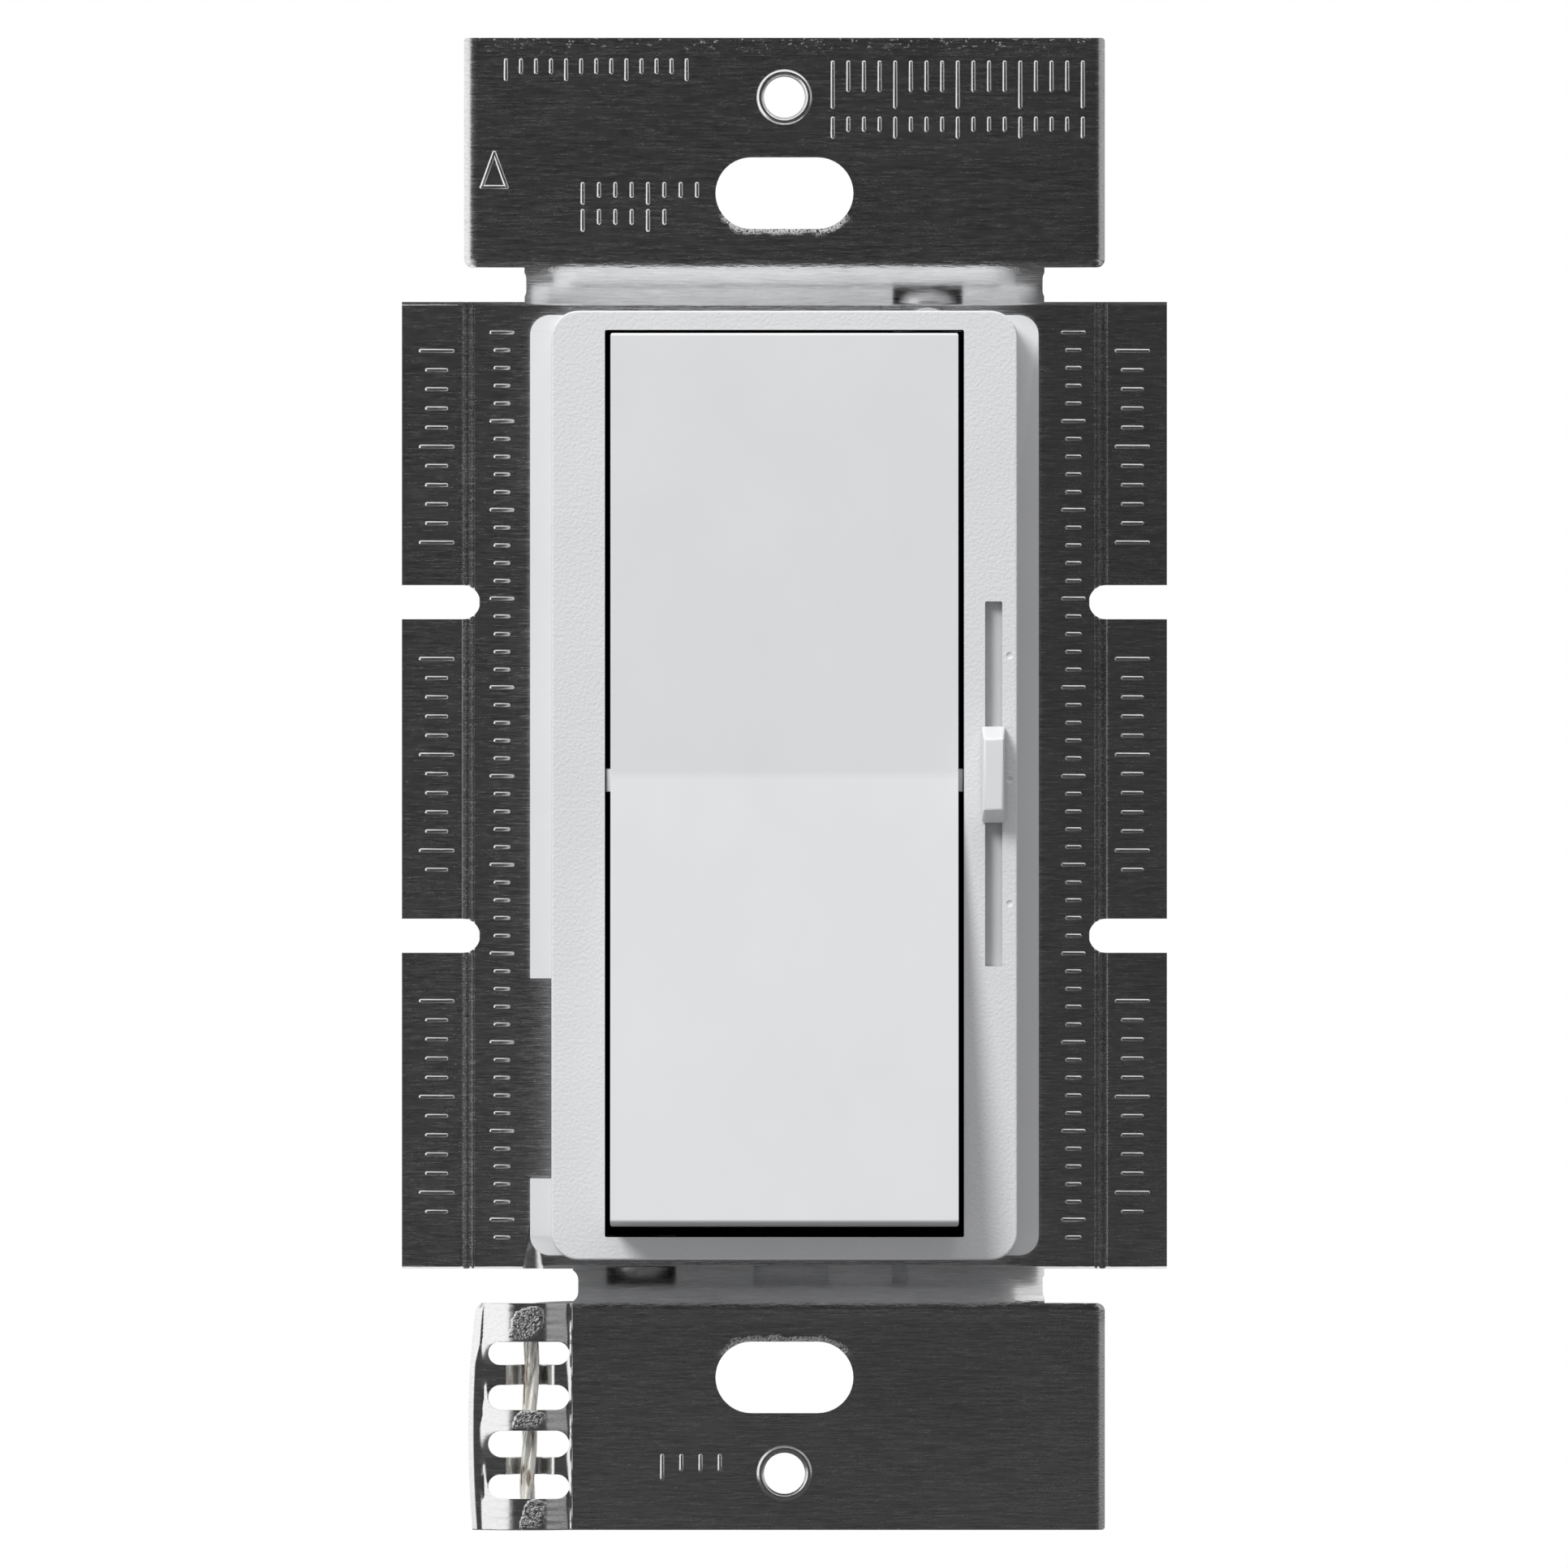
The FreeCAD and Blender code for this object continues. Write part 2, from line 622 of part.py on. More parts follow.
def make_base_frame():
    """Plastic frame: a flange on the strap, a collar through its opening and two posts."""
    flange = rounded_plate(FLANGE_HALF_W, FLANGE_HALF_H, FLANGE_CORNER_R, FLANGE_FRONT, PLATE_FRONT)
    out_w = OPENING_HALF_W - COLLAR_CLEAR
    out_h = OPENING_HALF_H - COLLAR_CLEAR
    in_w = out_w - COLLAR_WALL
    in_h = out_h - COLLAR_WALL
    front = FLANGE_FRONT - OVER
    collar = block(-out_w, out_w, PLATE_FRONT, COLLAR_Y, -out_h, out_h)
    solids = [collar.cut(block(-in_w, in_w, PLATE_FRONT, COLLAR_Y + OVER, -in_h, in_h))]
    for x, z in screw_places():
        solids.append(rod(BOSS_R, V(x, PLATE_FRONT, z), V(x, BOARD_Y, z)))
    for z in (-RIB_Z, RIB_Z):
        rib_y = FLANGE_FRONT - RIB_HEIGHT
        solids.append(block(-RIB_HALF_L, RIB_HALF_L, FLANGE_FRONT, rib_y, z - RIB_HALF_W, z + RIB_HALF_W))
    frame = flange.fuse(solids)
    half_w, half_h = POST_ROOM_HALF
    cuts = [block(-half_w, half_w, front, PLATE_FRONT + OVER, PIVOT_Z - half_h, PIVOT_Z + half_h)]
    slot_top = SLOT_Z[0] + SLOT_ROOM
    slot_low = SLOT_Z[1] - SLOT_ROOM
    slot_left = SLOT_X[0] - COLLAR_CLEAR
    slot_right = SLOT_X[1] + COLLAR_CLEAR
    cuts.append(block(slot_left, slot_right, front, PLATE_FRONT + OVER, slot_low, slot_top))
    side_left = SLOT_X[0] - SLOT_ROOM
    side_z = (slot_low - OVER, slot_top + OVER)
    cuts.append(block(side_left, out_w + OVER, PLATE_FRONT, COLLAR_Y + OVER, *side_z))
    gap_top, gap_low = FLANGE_GAP_Z
    gap_in = BEZEL_HALF_W - FLANGE_GAP_IN
    cuts.append(block(-FLANGE_HALF_W - OVER, -gap_in, front, PLATE_FRONT, gap_low, gap_top))
    room = RIVET_HEAD_R + RIVET_HEAD_ROOM
    for (x, z), side in rivet_places():
        end = side * (FLANGE_HALF_H + OVER)
        cuts.append(block(x - room, x + room, front, PLATE_FRONT, z - side * room, end))
    low, high = -FLANGE_HALF_H - OVER, -FLANGE_HALF_H + NOTCH_DEPTH
    cuts.append(block(*LATCH_X, front, PLATE_FRONT - TONGUE_T, low, high))
    for x0, x1 in ((LATCH_X[0], TONGUE_X[0]), (TONGUE_X[1], LATCH_X[1]), SLIT_X):
        cuts.append(block(x0, x1, front, PLATE_FRONT, low, high))
    cuts += tab_boxes(TAB_CLEAR, front, FLANGE_FRONT + TAB_DEPTH + TAB_CLEAR)
    for x, z in screw_places():
        cuts.append(rod(PILOT_R, V(x, PILOT_Y, z), V(x, BOARD_Y + OVER, z)))
    return frame.cut(cuts).removeSplitter()


def make_bezel():
    """The front insert, with the paddle's well and the slider's slot."""
    body = rounded_plate(BEZEL_HALF_W, BEZEL_HALF_H, BEZEL_CORNER_R, BEZEL_FACE_Y, FLANGE_FRONT)
    front = [e for e in body.Edges if e.BoundBox.YMax < BEZEL_FACE_Y + SEAT]
    body = body.makeChamfer(BEZEL_BEVEL, front)
    inner_w = BEZEL_HALF_W - BEZEL_WALL
    rim_w = WELL_HALF_W + RIM_WALL
    room_h = BEZEL_HALF_H - BEZEL_WALL - BEZEL_BEVEL
    inside_y = BEZEL_FACE_Y + BEZEL_FRONT_T
    back = FLANGE_FRONT + OVER
    cuts = []
    for side in (-1, 1):
        cuts.append(block(side * rim_w, side * inner_w, inside_y, back, -room_h, room_h))
    cuts.append(block(-WELL_HALF_W, WELL_HALF_W, BEZEL_FACE_Y - OVER, back, WELL_BOTTOM, WELL_TOP))
    slot = [
        (SLOT_X[0], SLOT_Z[0], SLOT_END_R),
        (SLOT_X[1], SLOT_Z[0], SLOT_END_R),
        (SLOT_X[1], SLOT_Z[1], SLOT_END_R),
        (SLOT_X[0], SLOT_Z[1], SLOT_END_R),
    ]
    cuts.append(prism(slot, front_point, BEZEL_FACE_Y - OVER, inside_y + OVER))
    pocket_y = BEZEL_FACE_Y + SLOT_FACE_T
    cuts.append(block(rim_w, BEZEL_HALF_W - POCKET_WALL, pocket_y, inside_y + SEAT, -room_h, room_h))
    reach = rim_w + TAB_CLEAR
    cuts.append(rod(PIVOT_R + PIVOT_CLEAR, V(-reach, PIVOT_Y, PIVOT_Z), V(reach, PIVOT_Y, PIVOT_Z)))
    for z in DIMPLE_Z:
        cuts.append(Part.makeCone(DIMPLE_R, 0, DIMPLE_R, V(DIMPLE_X, BEZEL_FACE_Y, z), V(0, 1, 0)))
    tabs = tab_boxes(0, inside_y, FLANGE_FRONT + TAB_DEPTH)
    return body.cut(cuts).fuse(tabs).removeSplitter()


def along_post(distance):
    """A point on the paddle post's axis, at rest, at this distance behind the pivot."""
    lean = math.radians(ROCK_DEG / 2)
    return V(0, PIVOT_Y + distance * math.cos(lean), PIVOT_Z - distance * math.sin(lean))


def make_paddle():
    """The rocker: two flat faces that meet at a shallow break, skirts, pivots and a post."""
    lean = math.radians(ROCK_DEG)
    slope = math.tan(lean)
    low_y = PADDLE_FACE_Y - (PADDLE_BREAK_Z - PADDLE_LOW) * slope
    back_y = low_y + PADDLE_DEPTH * math.cos(lean)
    back_z = PADDLE_LOW - PADDLE_END_DROP
    room_y = PLATE_BACK
    profile = [
        (PADDLE_FACE_Y, PADDLE_TOP, PADDLE_EDGE_R),
        (PADDLE_FACE_Y, PADDLE_BREAK_Z, 0),
        (low_y, PADDLE_LOW, PADDLE_EDGE_R),
        (back_y, back_z, 0),
        (HUB_Y, PIVOT_Z - HUB_HALF_H, 0),
        (HUB_Y, PIVOT_Z + HUB_HALF_H, 0),
        (PADDLE_FACE_Y + PADDLE_DEPTH, PADDLE_TOP, 0),
    ]
    body = prism(profile, side_point, -PADDLE_HALF_W, PADDLE_HALF_W)
    outline = [
        (-PADDLE_HALF_W, PADDLE_TOP + SEAT, PADDLE_CORNER_R),
        (PADDLE_HALF_W, PADDLE_TOP + SEAT, PADDLE_CORNER_R),
        (PADDLE_HALF_W, back_z - SEAT, PADDLE_CORNER_R),
        (-PADDLE_HALF_W, back_z - SEAT, PADDLE_CORNER_R),
    ]
    body = body.common(prism(outline, front_point, low_y - OVER, room_y))
    inner_w = PADDLE_HALF_W - PADDLE_WALL
    face_in = PADDLE_FACE_Y + PADDLE_WALL
    top_in = PADDLE_TOP - PADDLE_WALL
    upper = block(-inner_w, inner_w, face_in, room_y, PIVOT_Z + HUB_HOLLOW_Z, top_in)
    start_z = PIVOT_Z - HUB_HOLLOW_Z
    start_y = face_in - (PADDLE_BREAK_Z - start_z) * slope
    end_z = PADDLE_LOW + PADDLE_WALL
    end_y = face_in - (PADDLE_BREAK_Z - end_z) * slope
    hollow = [
        (start_y, start_z, 0),
        (end_y, end_z, 0),
        (room_y, end_z - (room_y - end_y) * slope, 0),
        (room_y, start_z, 0),
    ]
    body = body.cut([upper, prism(hollow, side_point, -inner_w, inner_w)])
    reach = PADDLE_HALF_W + PIVOT_REACH
    solids = [rod(PIVOT_R, V(-reach, PIVOT_Y, PIVOT_Z), V(reach, PIVOT_Y, PIVOT_Z))]
    solids.append(rod(POST_R, along_post(-OVER), along_post(POST_LENGTH)))
    half = PADDLE_RIB_T / 2
    rib_back = PIVOT_Y - PADDLE_WALL
    for x in (-PADDLE_RIB_X, PADDLE_RIB_X):
        solids.append(block(x - half, x + half, face_in - half, rib_back, PIVOT_Z, top_in + half))
    bore = rod(POST_BORE_R, along_post(POST_FLOOR), along_post(POST_LENGTH + OVER))
    return body.fuse(solids).cut(bore).removeSplitter()


def make_plunger():
    """Nylon plunger in the paddle's post, with a tapered nose."""
    start, end = PLUNGER_HEAD
    body = rod(PLUNGER_R, along_post(start), along_post(end))
    nose = rod(NOSE_R, along_post(end), along_post(NOSE_REACH))
    axis = along_post(1) - along_post(0)
    tip = Part.makeCone(NOSE_R, NOSE_R / 2, NOSE_R, along_post(NOSE_REACH), axis)
    return body.fuse([nose, tip]).removeSplitter()


def make_paddle_spring():
    """Compression spring of square wire between the post's floor and the plunger."""
    rise = SPRING_LENGTH - SPRING_WIRE
    helix = Part.makeHelix(rise / SPRING_TURNS, rise, SPRING_R)
    half = SPRING_WIRE / 2
    corners = [(1, 1), (-1, 1), (-1, -1), (1, -1), (1, 1)]
    section = Part.makePolygon([V(SPRING_R + u * half, 0, v * half) for u, v in corners])
    coil = Part.Wire(helix.Edges).makePipeShell([section], True, True)
    coil = Part.Solid(coil) if coil.ShapeType == "Shell" else coil
    turn = FreeCAD.Rotation(V(0, 0, 1), along_post(1) - along_post(0))
    coil.Placement = FreeCAD.Placement(along_post(SPRING_START + half), turn)
    return coil


def make_knob():
    """Slider knob: a small bevelled cap and a flat stem that ends in a fork."""
    base_y = BEZEL_FACE_Y - KNOB_CLEAR
    top_y = base_y - KNOB_HEIGHT
    side_view = [
        (base_y, KNOB_Z - KNOB_L / 2, 0),
        (base_y, KNOB_Z + KNOB_L / 2, 0),
        (top_y, KNOB_Z + KNOB_TOP_L / 2, KNOB_EDGE_R),
        (top_y, KNOB_Z - KNOB_TOP_L / 2, KNOB_EDGE_R),
    ]
    end_view = [
        (KNOB_X - KNOB_W / 2, base_y, 0),
        (KNOB_X + KNOB_W / 2, base_y, 0),
        (KNOB_X + KNOB_TOP_W / 2, top_y, KNOB_EDGE_R),
        (KNOB_X - KNOB_TOP_W / 2, top_y, KNOB_EDGE_R),
    ]
    along = prism(side_view, side_point, KNOB_X - KNOB_W, KNOB_X + KNOB_W)
    across = prism(end_view, top_point, KNOB_Z - KNOB_L, KNOB_Z + KNOB_L)
    stem_end = CASE_Y[0] - BRACKET_GAP
    left = KNOB_X - STEM_T / 2
    stem = block(left, left + STEM_T, base_y, stem_end, KNOB_Z - STEM_L / 2, KNOB_Z + STEM_L / 2)
    fork_z = (KNOB_Z - FORK_HALF, KNOB_Z + FORK_HALF)
    fork = block(left - OVER, left + STEM_T + OVER, stem_end - FORK_DEPTH, stem_end + OVER, *fork_z)
    return along.common(across).fuse(stem).cut(fork).removeSplitter()


def make_shutter():
    """Dust strip on the knob's stem, which closes the slot over the slider's whole travel."""
    x0 = WELL_HALF_W + RIM_WALL + SHUTTER_CLEAR
    x1 = BEZEL_HALF_W - POCKET_WALL - SHUTTER_CLEAR
    y0 = BEZEL_FACE_Y + SLOT_FACE_T + SHUTTER_CLEAR
    y1 = y0 + SHUTTER_T
    top = SLOT_Z[0] + KNOB_Z - DIMPLE_Z[2] + SHUTTER_PAST
    low = SLOT_Z[1] + KNOB_Z - DIMPLE_Z[0] - SHUTTER_PAST
    half = STEM_L / 2
    left = KNOB_X - STEM_T / 2
    hole = block(left, left + STEM_T, y0 - OVER, y1 + OVER, KNOB_Z - half, KNOB_Z + half)
    return block(x0, x1, y0, y1, low, top).cut(hole).removeSplitter()


def make_switch_case():
    """Moulded case of the slide switch, open towards the board, slotted towards the knob."""
    x0, x1 = CASE_X
    y0, y1 = CASE_Y
    z0 = CASE_MID_Z - CASE_HALF_L
    z1 = CASE_MID_Z + CASE_HALF_L
    body = block(x0, x1, y0, y1, z0, z1)
    edges = [e for e in body.Edges if abs(e.BoundBox.YLength - (y1 - y0)) < SEAT]
    body = body.makeFillet(CASE_CORNER_R, edges)
    wall = CASE_WALL
    cavity = block(x0 + wall, x1 - wall, y0 + wall, y1 + OVER, z0 + wall, z1 - wall)
    low = DIMPLE_Z[2] - CASE_SLOT_PAST
    high = DIMPLE_Z[0] + CASE_SLOT_PAST
    slot = block(KNOB_X - CASE_SLOT_HALF, KNOB_X + CASE_SLOT_HALF, y0 - OVER, y0 + wall + OVER, low, high)
    return body.cut([cavity, slot]).removeSplitter()


def make_contact_base():
    """Phenolic plate that closes the slide switch and holds its contacts."""
    x0, x1 = CASE_X
    inset = CASE_WALL + BASE_CLEAR
    half = CASE_HALF_L - inset
    up = (CASE_MID_Z - half, CASE_MID_Z + half)
    plate = block(x0 + inset, x1 - inset, CASE_Y[1] - BASE_T, CASE_Y[1], *up)
    return plate.cut(contact_pads(PAD_CLEAR))


def contact_pads(grow):
    """Three speed contacts and one long common strip, flush in the contact base."""
    front = CASE_Y[1] - BASE_T
    back = front + PAD_T + grow
    pads = []
    for z in DIMPLE_Z:
        low = z - PAD_HALF_L - grow
        high = z + PAD_HALF_L + grow
        pads.append(block(PAD_X[0] - grow, PAD_X[1] + grow, front, back, low, high))
    low = DIMPLE_Z[2] - STRIP_PAST - grow
    high = DIMPLE_Z[0] + STRIP_PAST + grow
    pads.append(block(STRIP_X[0] - grow, STRIP_X[1] + grow, front, back, low, high))
    return pads


def make_carriage():
    """Sliding carriage, with the tang that the knob's fork holds."""
    x0 = CASE_X[0] + CASE_WALL + SLIDE_CLEAR
    x1 = CASE_X[1] - CASE_WALL - SLIDE_CLEAR
    y0 = CASE_Y[0] + CASE_WALL + CARRIAGE_LIFT
    y1 = y0 + CARRIAGE_T
    body = block(x0, x1, y0, y1, KNOB_Z - CARRIAGE_HALF_L, KNOB_Z + CARRIAGE_HALF_L)
    notches = []
    for step in NOTCH_Z:
        z = KNOB_Z + step
        notch = [(x1, z - NOTCH_HALF), (x1, z + NOTCH_HALF), (x1 - NOTCH_DEPTH, z)]
        face = Part.Face(Part.makePolygon([V(x, y0, z) for x, z in notch + notch[:1]]))
        notches.append(face.extrude(V(0, y1 - y0, 0)))
    half_t = TANG_T / 2
    half_l = FORK_HALF - TANG_CLEAR
    tang_y = CASE_Y[0] - BRACKET_GAP - FORK_DEPTH + 5 * TANG_CLEAR
    tang = block(KNOB_X - half_t, KNOB_X + half_t, tang_y, y0, KNOB_Z - half_l, KNOB_Z + half_l)
    return body.cut(notches).fuse(tang).removeSplitter()


def make_wiper():
    """Bridging contact on the back of the carriage: a strip with two raised tips."""
    y0 = CASE_Y[0] + CASE_WALL + CARRIAGE_LIFT + CARRIAGE_T
    tip_y = CASE_Y[1] - BASE_T - WIPER_GAP - WIPER_TIP_R
    low = KNOB_Z - WIPER_HALF_L
    high = KNOB_Z + WIPER_HALF_L
    tip_xs = [sum(PAD_X) / 2, sum(STRIP_X) / 2]
    plate = block(tip_xs[0] - WIPER_TIP_R, tip_xs[1] + WIPER_TIP_R, y0, y0 + WIPER_T, low, high)
    solids = []
    for x in tip_xs:
        half = WIPER_TIP_R
        solids.append(block(x - half, x + half, y0, tip_y, KNOB_Z - half, KNOB_Z + half))
        solids.append(rod(half, V(x, tip_y, KNOB_Z - half), V(x, tip_y, KNOB_Z + half)))
    return plate.fuse(solids).removeSplitter()


def make_detent_spring():
    """Leaf spring along the case wall, beside the carriage's notches."""
    wall_x = CASE_X[1] - CASE_WALL
    y0 = CASE_Y[0] + CASE_WALL + LEAF_LIFT
    return block(wall_x - LEAF_T, wall_x, y0, y0 + LEAF_W, KNOB_Z - LEAF_HALF_L, KNOB_Z + LEAF_HALF_L)


def make_board():
    """Circuit board between the frame's posts and the housing's columns."""
    board = rounded_plate(BOARD_HALF_W, BOARD_HALF_H, BOARD_CORNER_R, BOARD_Y, BOARD_BACK)
    front = BOARD_Y - OVER
    back = BOARD_BACK + OVER
    cuts = []
    for x, z in screw_places():
        cuts.append(rod(SCREW_CLEAR_R, V(x, front, z), V(x, back, z)))
    half = RIVET_ROOM + RIVET_WALL + HEAD_ROOM
    for (x, z), side in rivet_places():
        cuts.append(block(x - half, x + half, front, back, z - side * half, side * (BOARD_HALF_H + OVER)))
    cuts += lead_tabs(SEAT / 2, front, back)
    return board.cut(cuts).removeSplitter()


def lead_tabs(grow, front, back):
    """Three flat tabs for the supply leads, or their slots in the board when grown."""
    tabs = []
    half_t = LEAD_TAB_T / 2 + grow
    half_w = LEAD_TAB_HALF + grow
    for z in LEAD_TAB_Z:
        tabs.append(block(LEAD_TAB_X - half_t, LEAD_TAB_X + half_t, front, back, z - half_w, z + half_w))
    return tabs


def make_lead_terminals():
    """Three tinned tabs that stand on the board, one for each supply lead."""
    return Part.Compound(lead_tabs(0, BOARD_Y - SEAT, BOARD_BACK + LEAD_TAB_REACH))


def capacitor(across, up, depth):
    """A film capacitor: a potted box with a rounded top edge, and four feet."""
    x0, x1 = across
    z0, z1 = up
    y0 = BOARD_BACK + LIFT
    y1 = BOARD_BACK + depth
    body = block(x0, x1, y0, y1, z0, z1)
    back = [e for e in body.Edges if e.BoundBox.YMin > y1 - SEAT]
    body = body.makeFillet(CAPACITOR_EDGE_R, back)
    feet = []
    for x in (x0 + FOOT_IN, x1 - FOOT_IN):
        for z in (z0 + FOOT_IN, z1 - FOOT_IN):
            feet.append(block(x - FOOT_HALF, x + FOOT_HALF, BOARD_BACK, y0, z - FOOT_HALF, z + FOOT_HALF))
    return body.fuse(feet).removeSplitter()


def make_surge_suppressor():
    """Disc varistor that lies flat behind the board."""
    front = BOARD_BACK + CARRIAGE_LIFT
    start = V(SUPPRESSOR_X, front, SUPPRESSOR_Z)
    return rod(SUPPRESSOR_R, start, start + V(0, SUPPRESSOR_T, 0))


def make_resistors():
    """Two bleed resistors across the capacitors, with their bent wires."""
    solids = []
    y = BOARD_BACK + RESISTOR_R + LIFT
    half = RESISTOR_WIRE / 2
    left = RESISTOR_X[0] - RESISTOR_SPAN
    right = RESISTOR_X[1] + RESISTOR_SPAN
    for z in RESISTOR_Z:
        body = rod(RESISTOR_R, V(RESISTOR_X[0], y, z), V(RESISTOR_X[1], y, z))
        wires = [block(left, right, y - half, y + half, z - half, z + half)]
        for x in (left, right - RESISTOR_WIRE):
            wires.append(block(x, x + RESISTOR_WIRE, BOARD_BACK, y, z - half, z + half))
        solids.append(body.fuse(wires).removeSplitter())
    return Part.Compound(solids)


def make_insulator():
    """Thin fibre sheet behind the strap, inside the housing's rim."""
    inset = HOUSE_WALL + SHEET_CLEAR
    half_w = HOUSE_HALF_W - inset
    sheet = rounded_plate(half_w, HOUSE_HALF_H - inset, BOARD_CORNER_R, PLATE_BACK, PLATE_BACK + SHEET_T)
    open_w = OPENING_HALF_W + SHEET_CLEAR
    back = PLATE_BACK + SHEET_T + OVER
    cuts = [block(-open_w, open_w, 0, back, -OPENING_HALF_H, OPENING_HALF_H)]
    half = RIVET_ROOM + RIVET_WALL + SHEET_CLEAR
    for (x, z), side in rivet_places():
        cuts.append(block(x - half, x + half, 0, back, z - side * half, side * (HOUSE_HALF_H + OVER)))
    return sheet.cut(cuts).removeSplitter()


def make_housing():
    """Deep back housing: rounded shell, rivet ledges, screw columns and a slot for the leads."""
    shell = rounded_plate(HOUSE_HALF_W, HOUSE_HALF_H, HOUSE_CORNER_R, PLATE_BACK, HOUSE_BACK_Y)
    back = [e for e in shell.Edges if e.BoundBox.YMin > HOUSE_BACK_Y - SEAT]
    shell = shell.makeChamfer(HOUSE_BEVEL, back)
    in_w = HOUSE_HALF_W - HOUSE_WALL
    in_h = HOUSE_HALF_H - HOUSE_WALL
    housing = shell.cut(rounded_plate(in_w, in_h, HOUSE_INNER_R, PLATE_BACK - OVER, HOUSE_FLOOR_Y))
    solids = []
    pockets = []
    past = HOUSE_BACK_Y + OVER
    for (x, z), side in rivet_places():
        inner = z - side * RIVET_ROOM
        half = RIVET_ROOM + RIVET_WALL
        edge = side * (HOUSE_HALF_H - LIFT)
        top = inner - side * RIVET_WALL
        solids.append(block(x - half, x + half, PLATE_BACK, HOUSE_BACK_Y - LIFT, top, edge))
        end = side * (HOUSE_HALF_H + OVER)
        pockets.append(block(x - RIVET_ROOM, x + RIVET_ROOM, RIVET_LEDGE_Y, past, inner, end))
        pockets.append(rod(RIVET_SHANK_R + SEAT, V(x, 0, z), V(x, RIVET_LEDGE_Y + OVER, z)))
    for x, z in screw_places():
        solids.append(rod(COLUMN_R, V(x, BOARD_BACK, z), V(x, HOUSE_FLOOR_Y, z)))
        pockets.append(rod(SCREW_CLEAR_R, V(x, BOARD_BACK - OVER, z), V(x, past, z)))
        pockets.append(rod(SCREW_HEAD_R + HEAD_ROOM, V(x, HEAD_SEAT_Y, z), V(x, past, z)))
    x = LEAD_TAB_X - LEAD_EXIT_SHIFT
    ends = (LEAD_TAB_Z[0], LEAD_TAB_Z[-1])
    inside = HOUSE_FLOOR_Y - OVER
    pockets.append(block(x - LEAD_EXIT_R, x + LEAD_EXIT_R, inside, past, ends[1], ends[0]))
    for z in ends:
        pockets.append(rod(LEAD_EXIT_R, V(x, inside, z), V(x, past, z)))
    return housing.fuse(solids).cut(pockets).removeSplitter()


def make_screws():
    """Two pan-head screws from the back of the housing into the frame's posts."""
    screws = []
    for x, z in screw_places():
        shank = rod(SCREW_R, V(x, BOARD_Y - SCREW_REACH, z), V(x, HEAD_SEAT_Y, z))
        crown_r = SCREW_HEAD_R - SCREW_HEAD_TAPER
        head = Part.makeCone(SCREW_HEAD_R, crown_r, SCREW_HEAD_T, V(x, HEAD_SEAT_Y, z), V(0, 1, 0))
        screws.append(shank.fuse(head).removeSplitter())
    return Part.Compound(screws)


def on_cradle(shape):
    """Put a shape that is drawn about the contact rocker's axis at its rest angle."""
    copy = shape.copy()
    copy.translate(V(0, CRADLE_Y, PIVOT_Z))
    return turned(copy, CRADLE_DEG, CRADLE_Y, PIVOT_Z)


def make_cradle():
    """Moulded rocker that the plunger's nose tips, with a bore for its pin."""
    profile = [
        (-CRADLE_FRONT, -CRADLE_HALF_L, PADDLE_EDGE_R),
        (-CRADLE_FRONT, CRADLE_HALF_L, PADDLE_EDGE_R),
        (CRADLE_WAIST, CRADLE_HALF_L, 0),
        (CRADLE_BACK, CRADLE_BACK_HALF, 0),
        (CRADLE_BACK, -CRADLE_BACK_HALF, 0),
        (CRADLE_WAIST, -CRADLE_HALF_L, 0),
    ]
    body = prism(profile, side_point, -CRADLE_HALF_W, CRADLE_HALF_W)
    past = CRADLE_HALF_W + OVER
    groove = rod(GROOVE_R, V(-past, GROOVE_Y, 0), V(past, GROOVE_Y, 0))
    bore = rod(CRADLE_BORE_R, V(-past, 0, 0), V(past, 0, 0))
    return on_cradle(body.cut([groove, bore]))


def make_contact_arm():
    """Copper strip on the back of the cradle, with a hole for the contact's shank."""
    back = CRADLE_BACK + ARM_T
    strip = block(-ARM_HALF_W, ARM_HALF_W, CRADLE_BACK, back, CONTACT_Z - ARM_PAST, ARM_TOP)
    hole = rod(CONTACT_SHANK_R + PIN_FIT, V(0, 0, CONTACT_Z), V(0, back + OVER, CONTACT_Z))
    return on_cradle(strip.cut(hole))


def make_moving_contact():
    """Silver rivet at the end of the contact arm."""
    back = CRADLE_BACK + ARM_T
    disc = rod(CONTACT_R, V(0, back, CONTACT_Z), V(0, back + CONTACT_T, CONTACT_Z))
    start = CRADLE_BACK - 2 * TAB_CLEAR
    shank = rod(CONTACT_SHANK_R, V(0, start, CONTACT_Z), V(0, back, CONTACT_Z))
    return on_cradle(disc.fuse(shank).removeSplitter())


def make_fixed_contact():
    """Silver rivet on the switched terminal, a hair from the moving one when closed."""
    start = CRADLE_BACK + ARM_T + CONTACT_T + CONTACT_GAP
    disc = rod(CONTACT_R + TAB_CLEAR, V(0, start, CONTACT_Z), V(0, start + FIXED_T, CONTACT_Z))
    return on_cradle(disc)


def make_switched_terminal():
    """Copper terminal that carries the fixed contact, with a foot on the board."""
    start = CRADLE_BACK + ARM_T + CONTACT_T + CONTACT_GAP + FIXED_T
    half = TERMINAL_HALF_W
    low, high = TERMINAL_PAST
    leaf = block(-half, half, start, start + TERMINAL_T, CONTACT_Z - low, CONTACT_Z + high)
    foot_z = PIVOT_Z + CONTACT_Z - low + 2 * TAB_CLEAR
    foot_y = BOARD_Y - CONTACT_R
    foot = block(-half, half, foot_y, BOARD_Y, foot_z - TERMINAL_T, foot_z + TERMINAL_T)
    before_board = block(-half, half, PIVOT_Y, BOARD_Y, -BOARD_HALF_H, PIVOT_Z)
    return on_cradle(leaf).fuse(foot).common(before_board).removeSplitter()


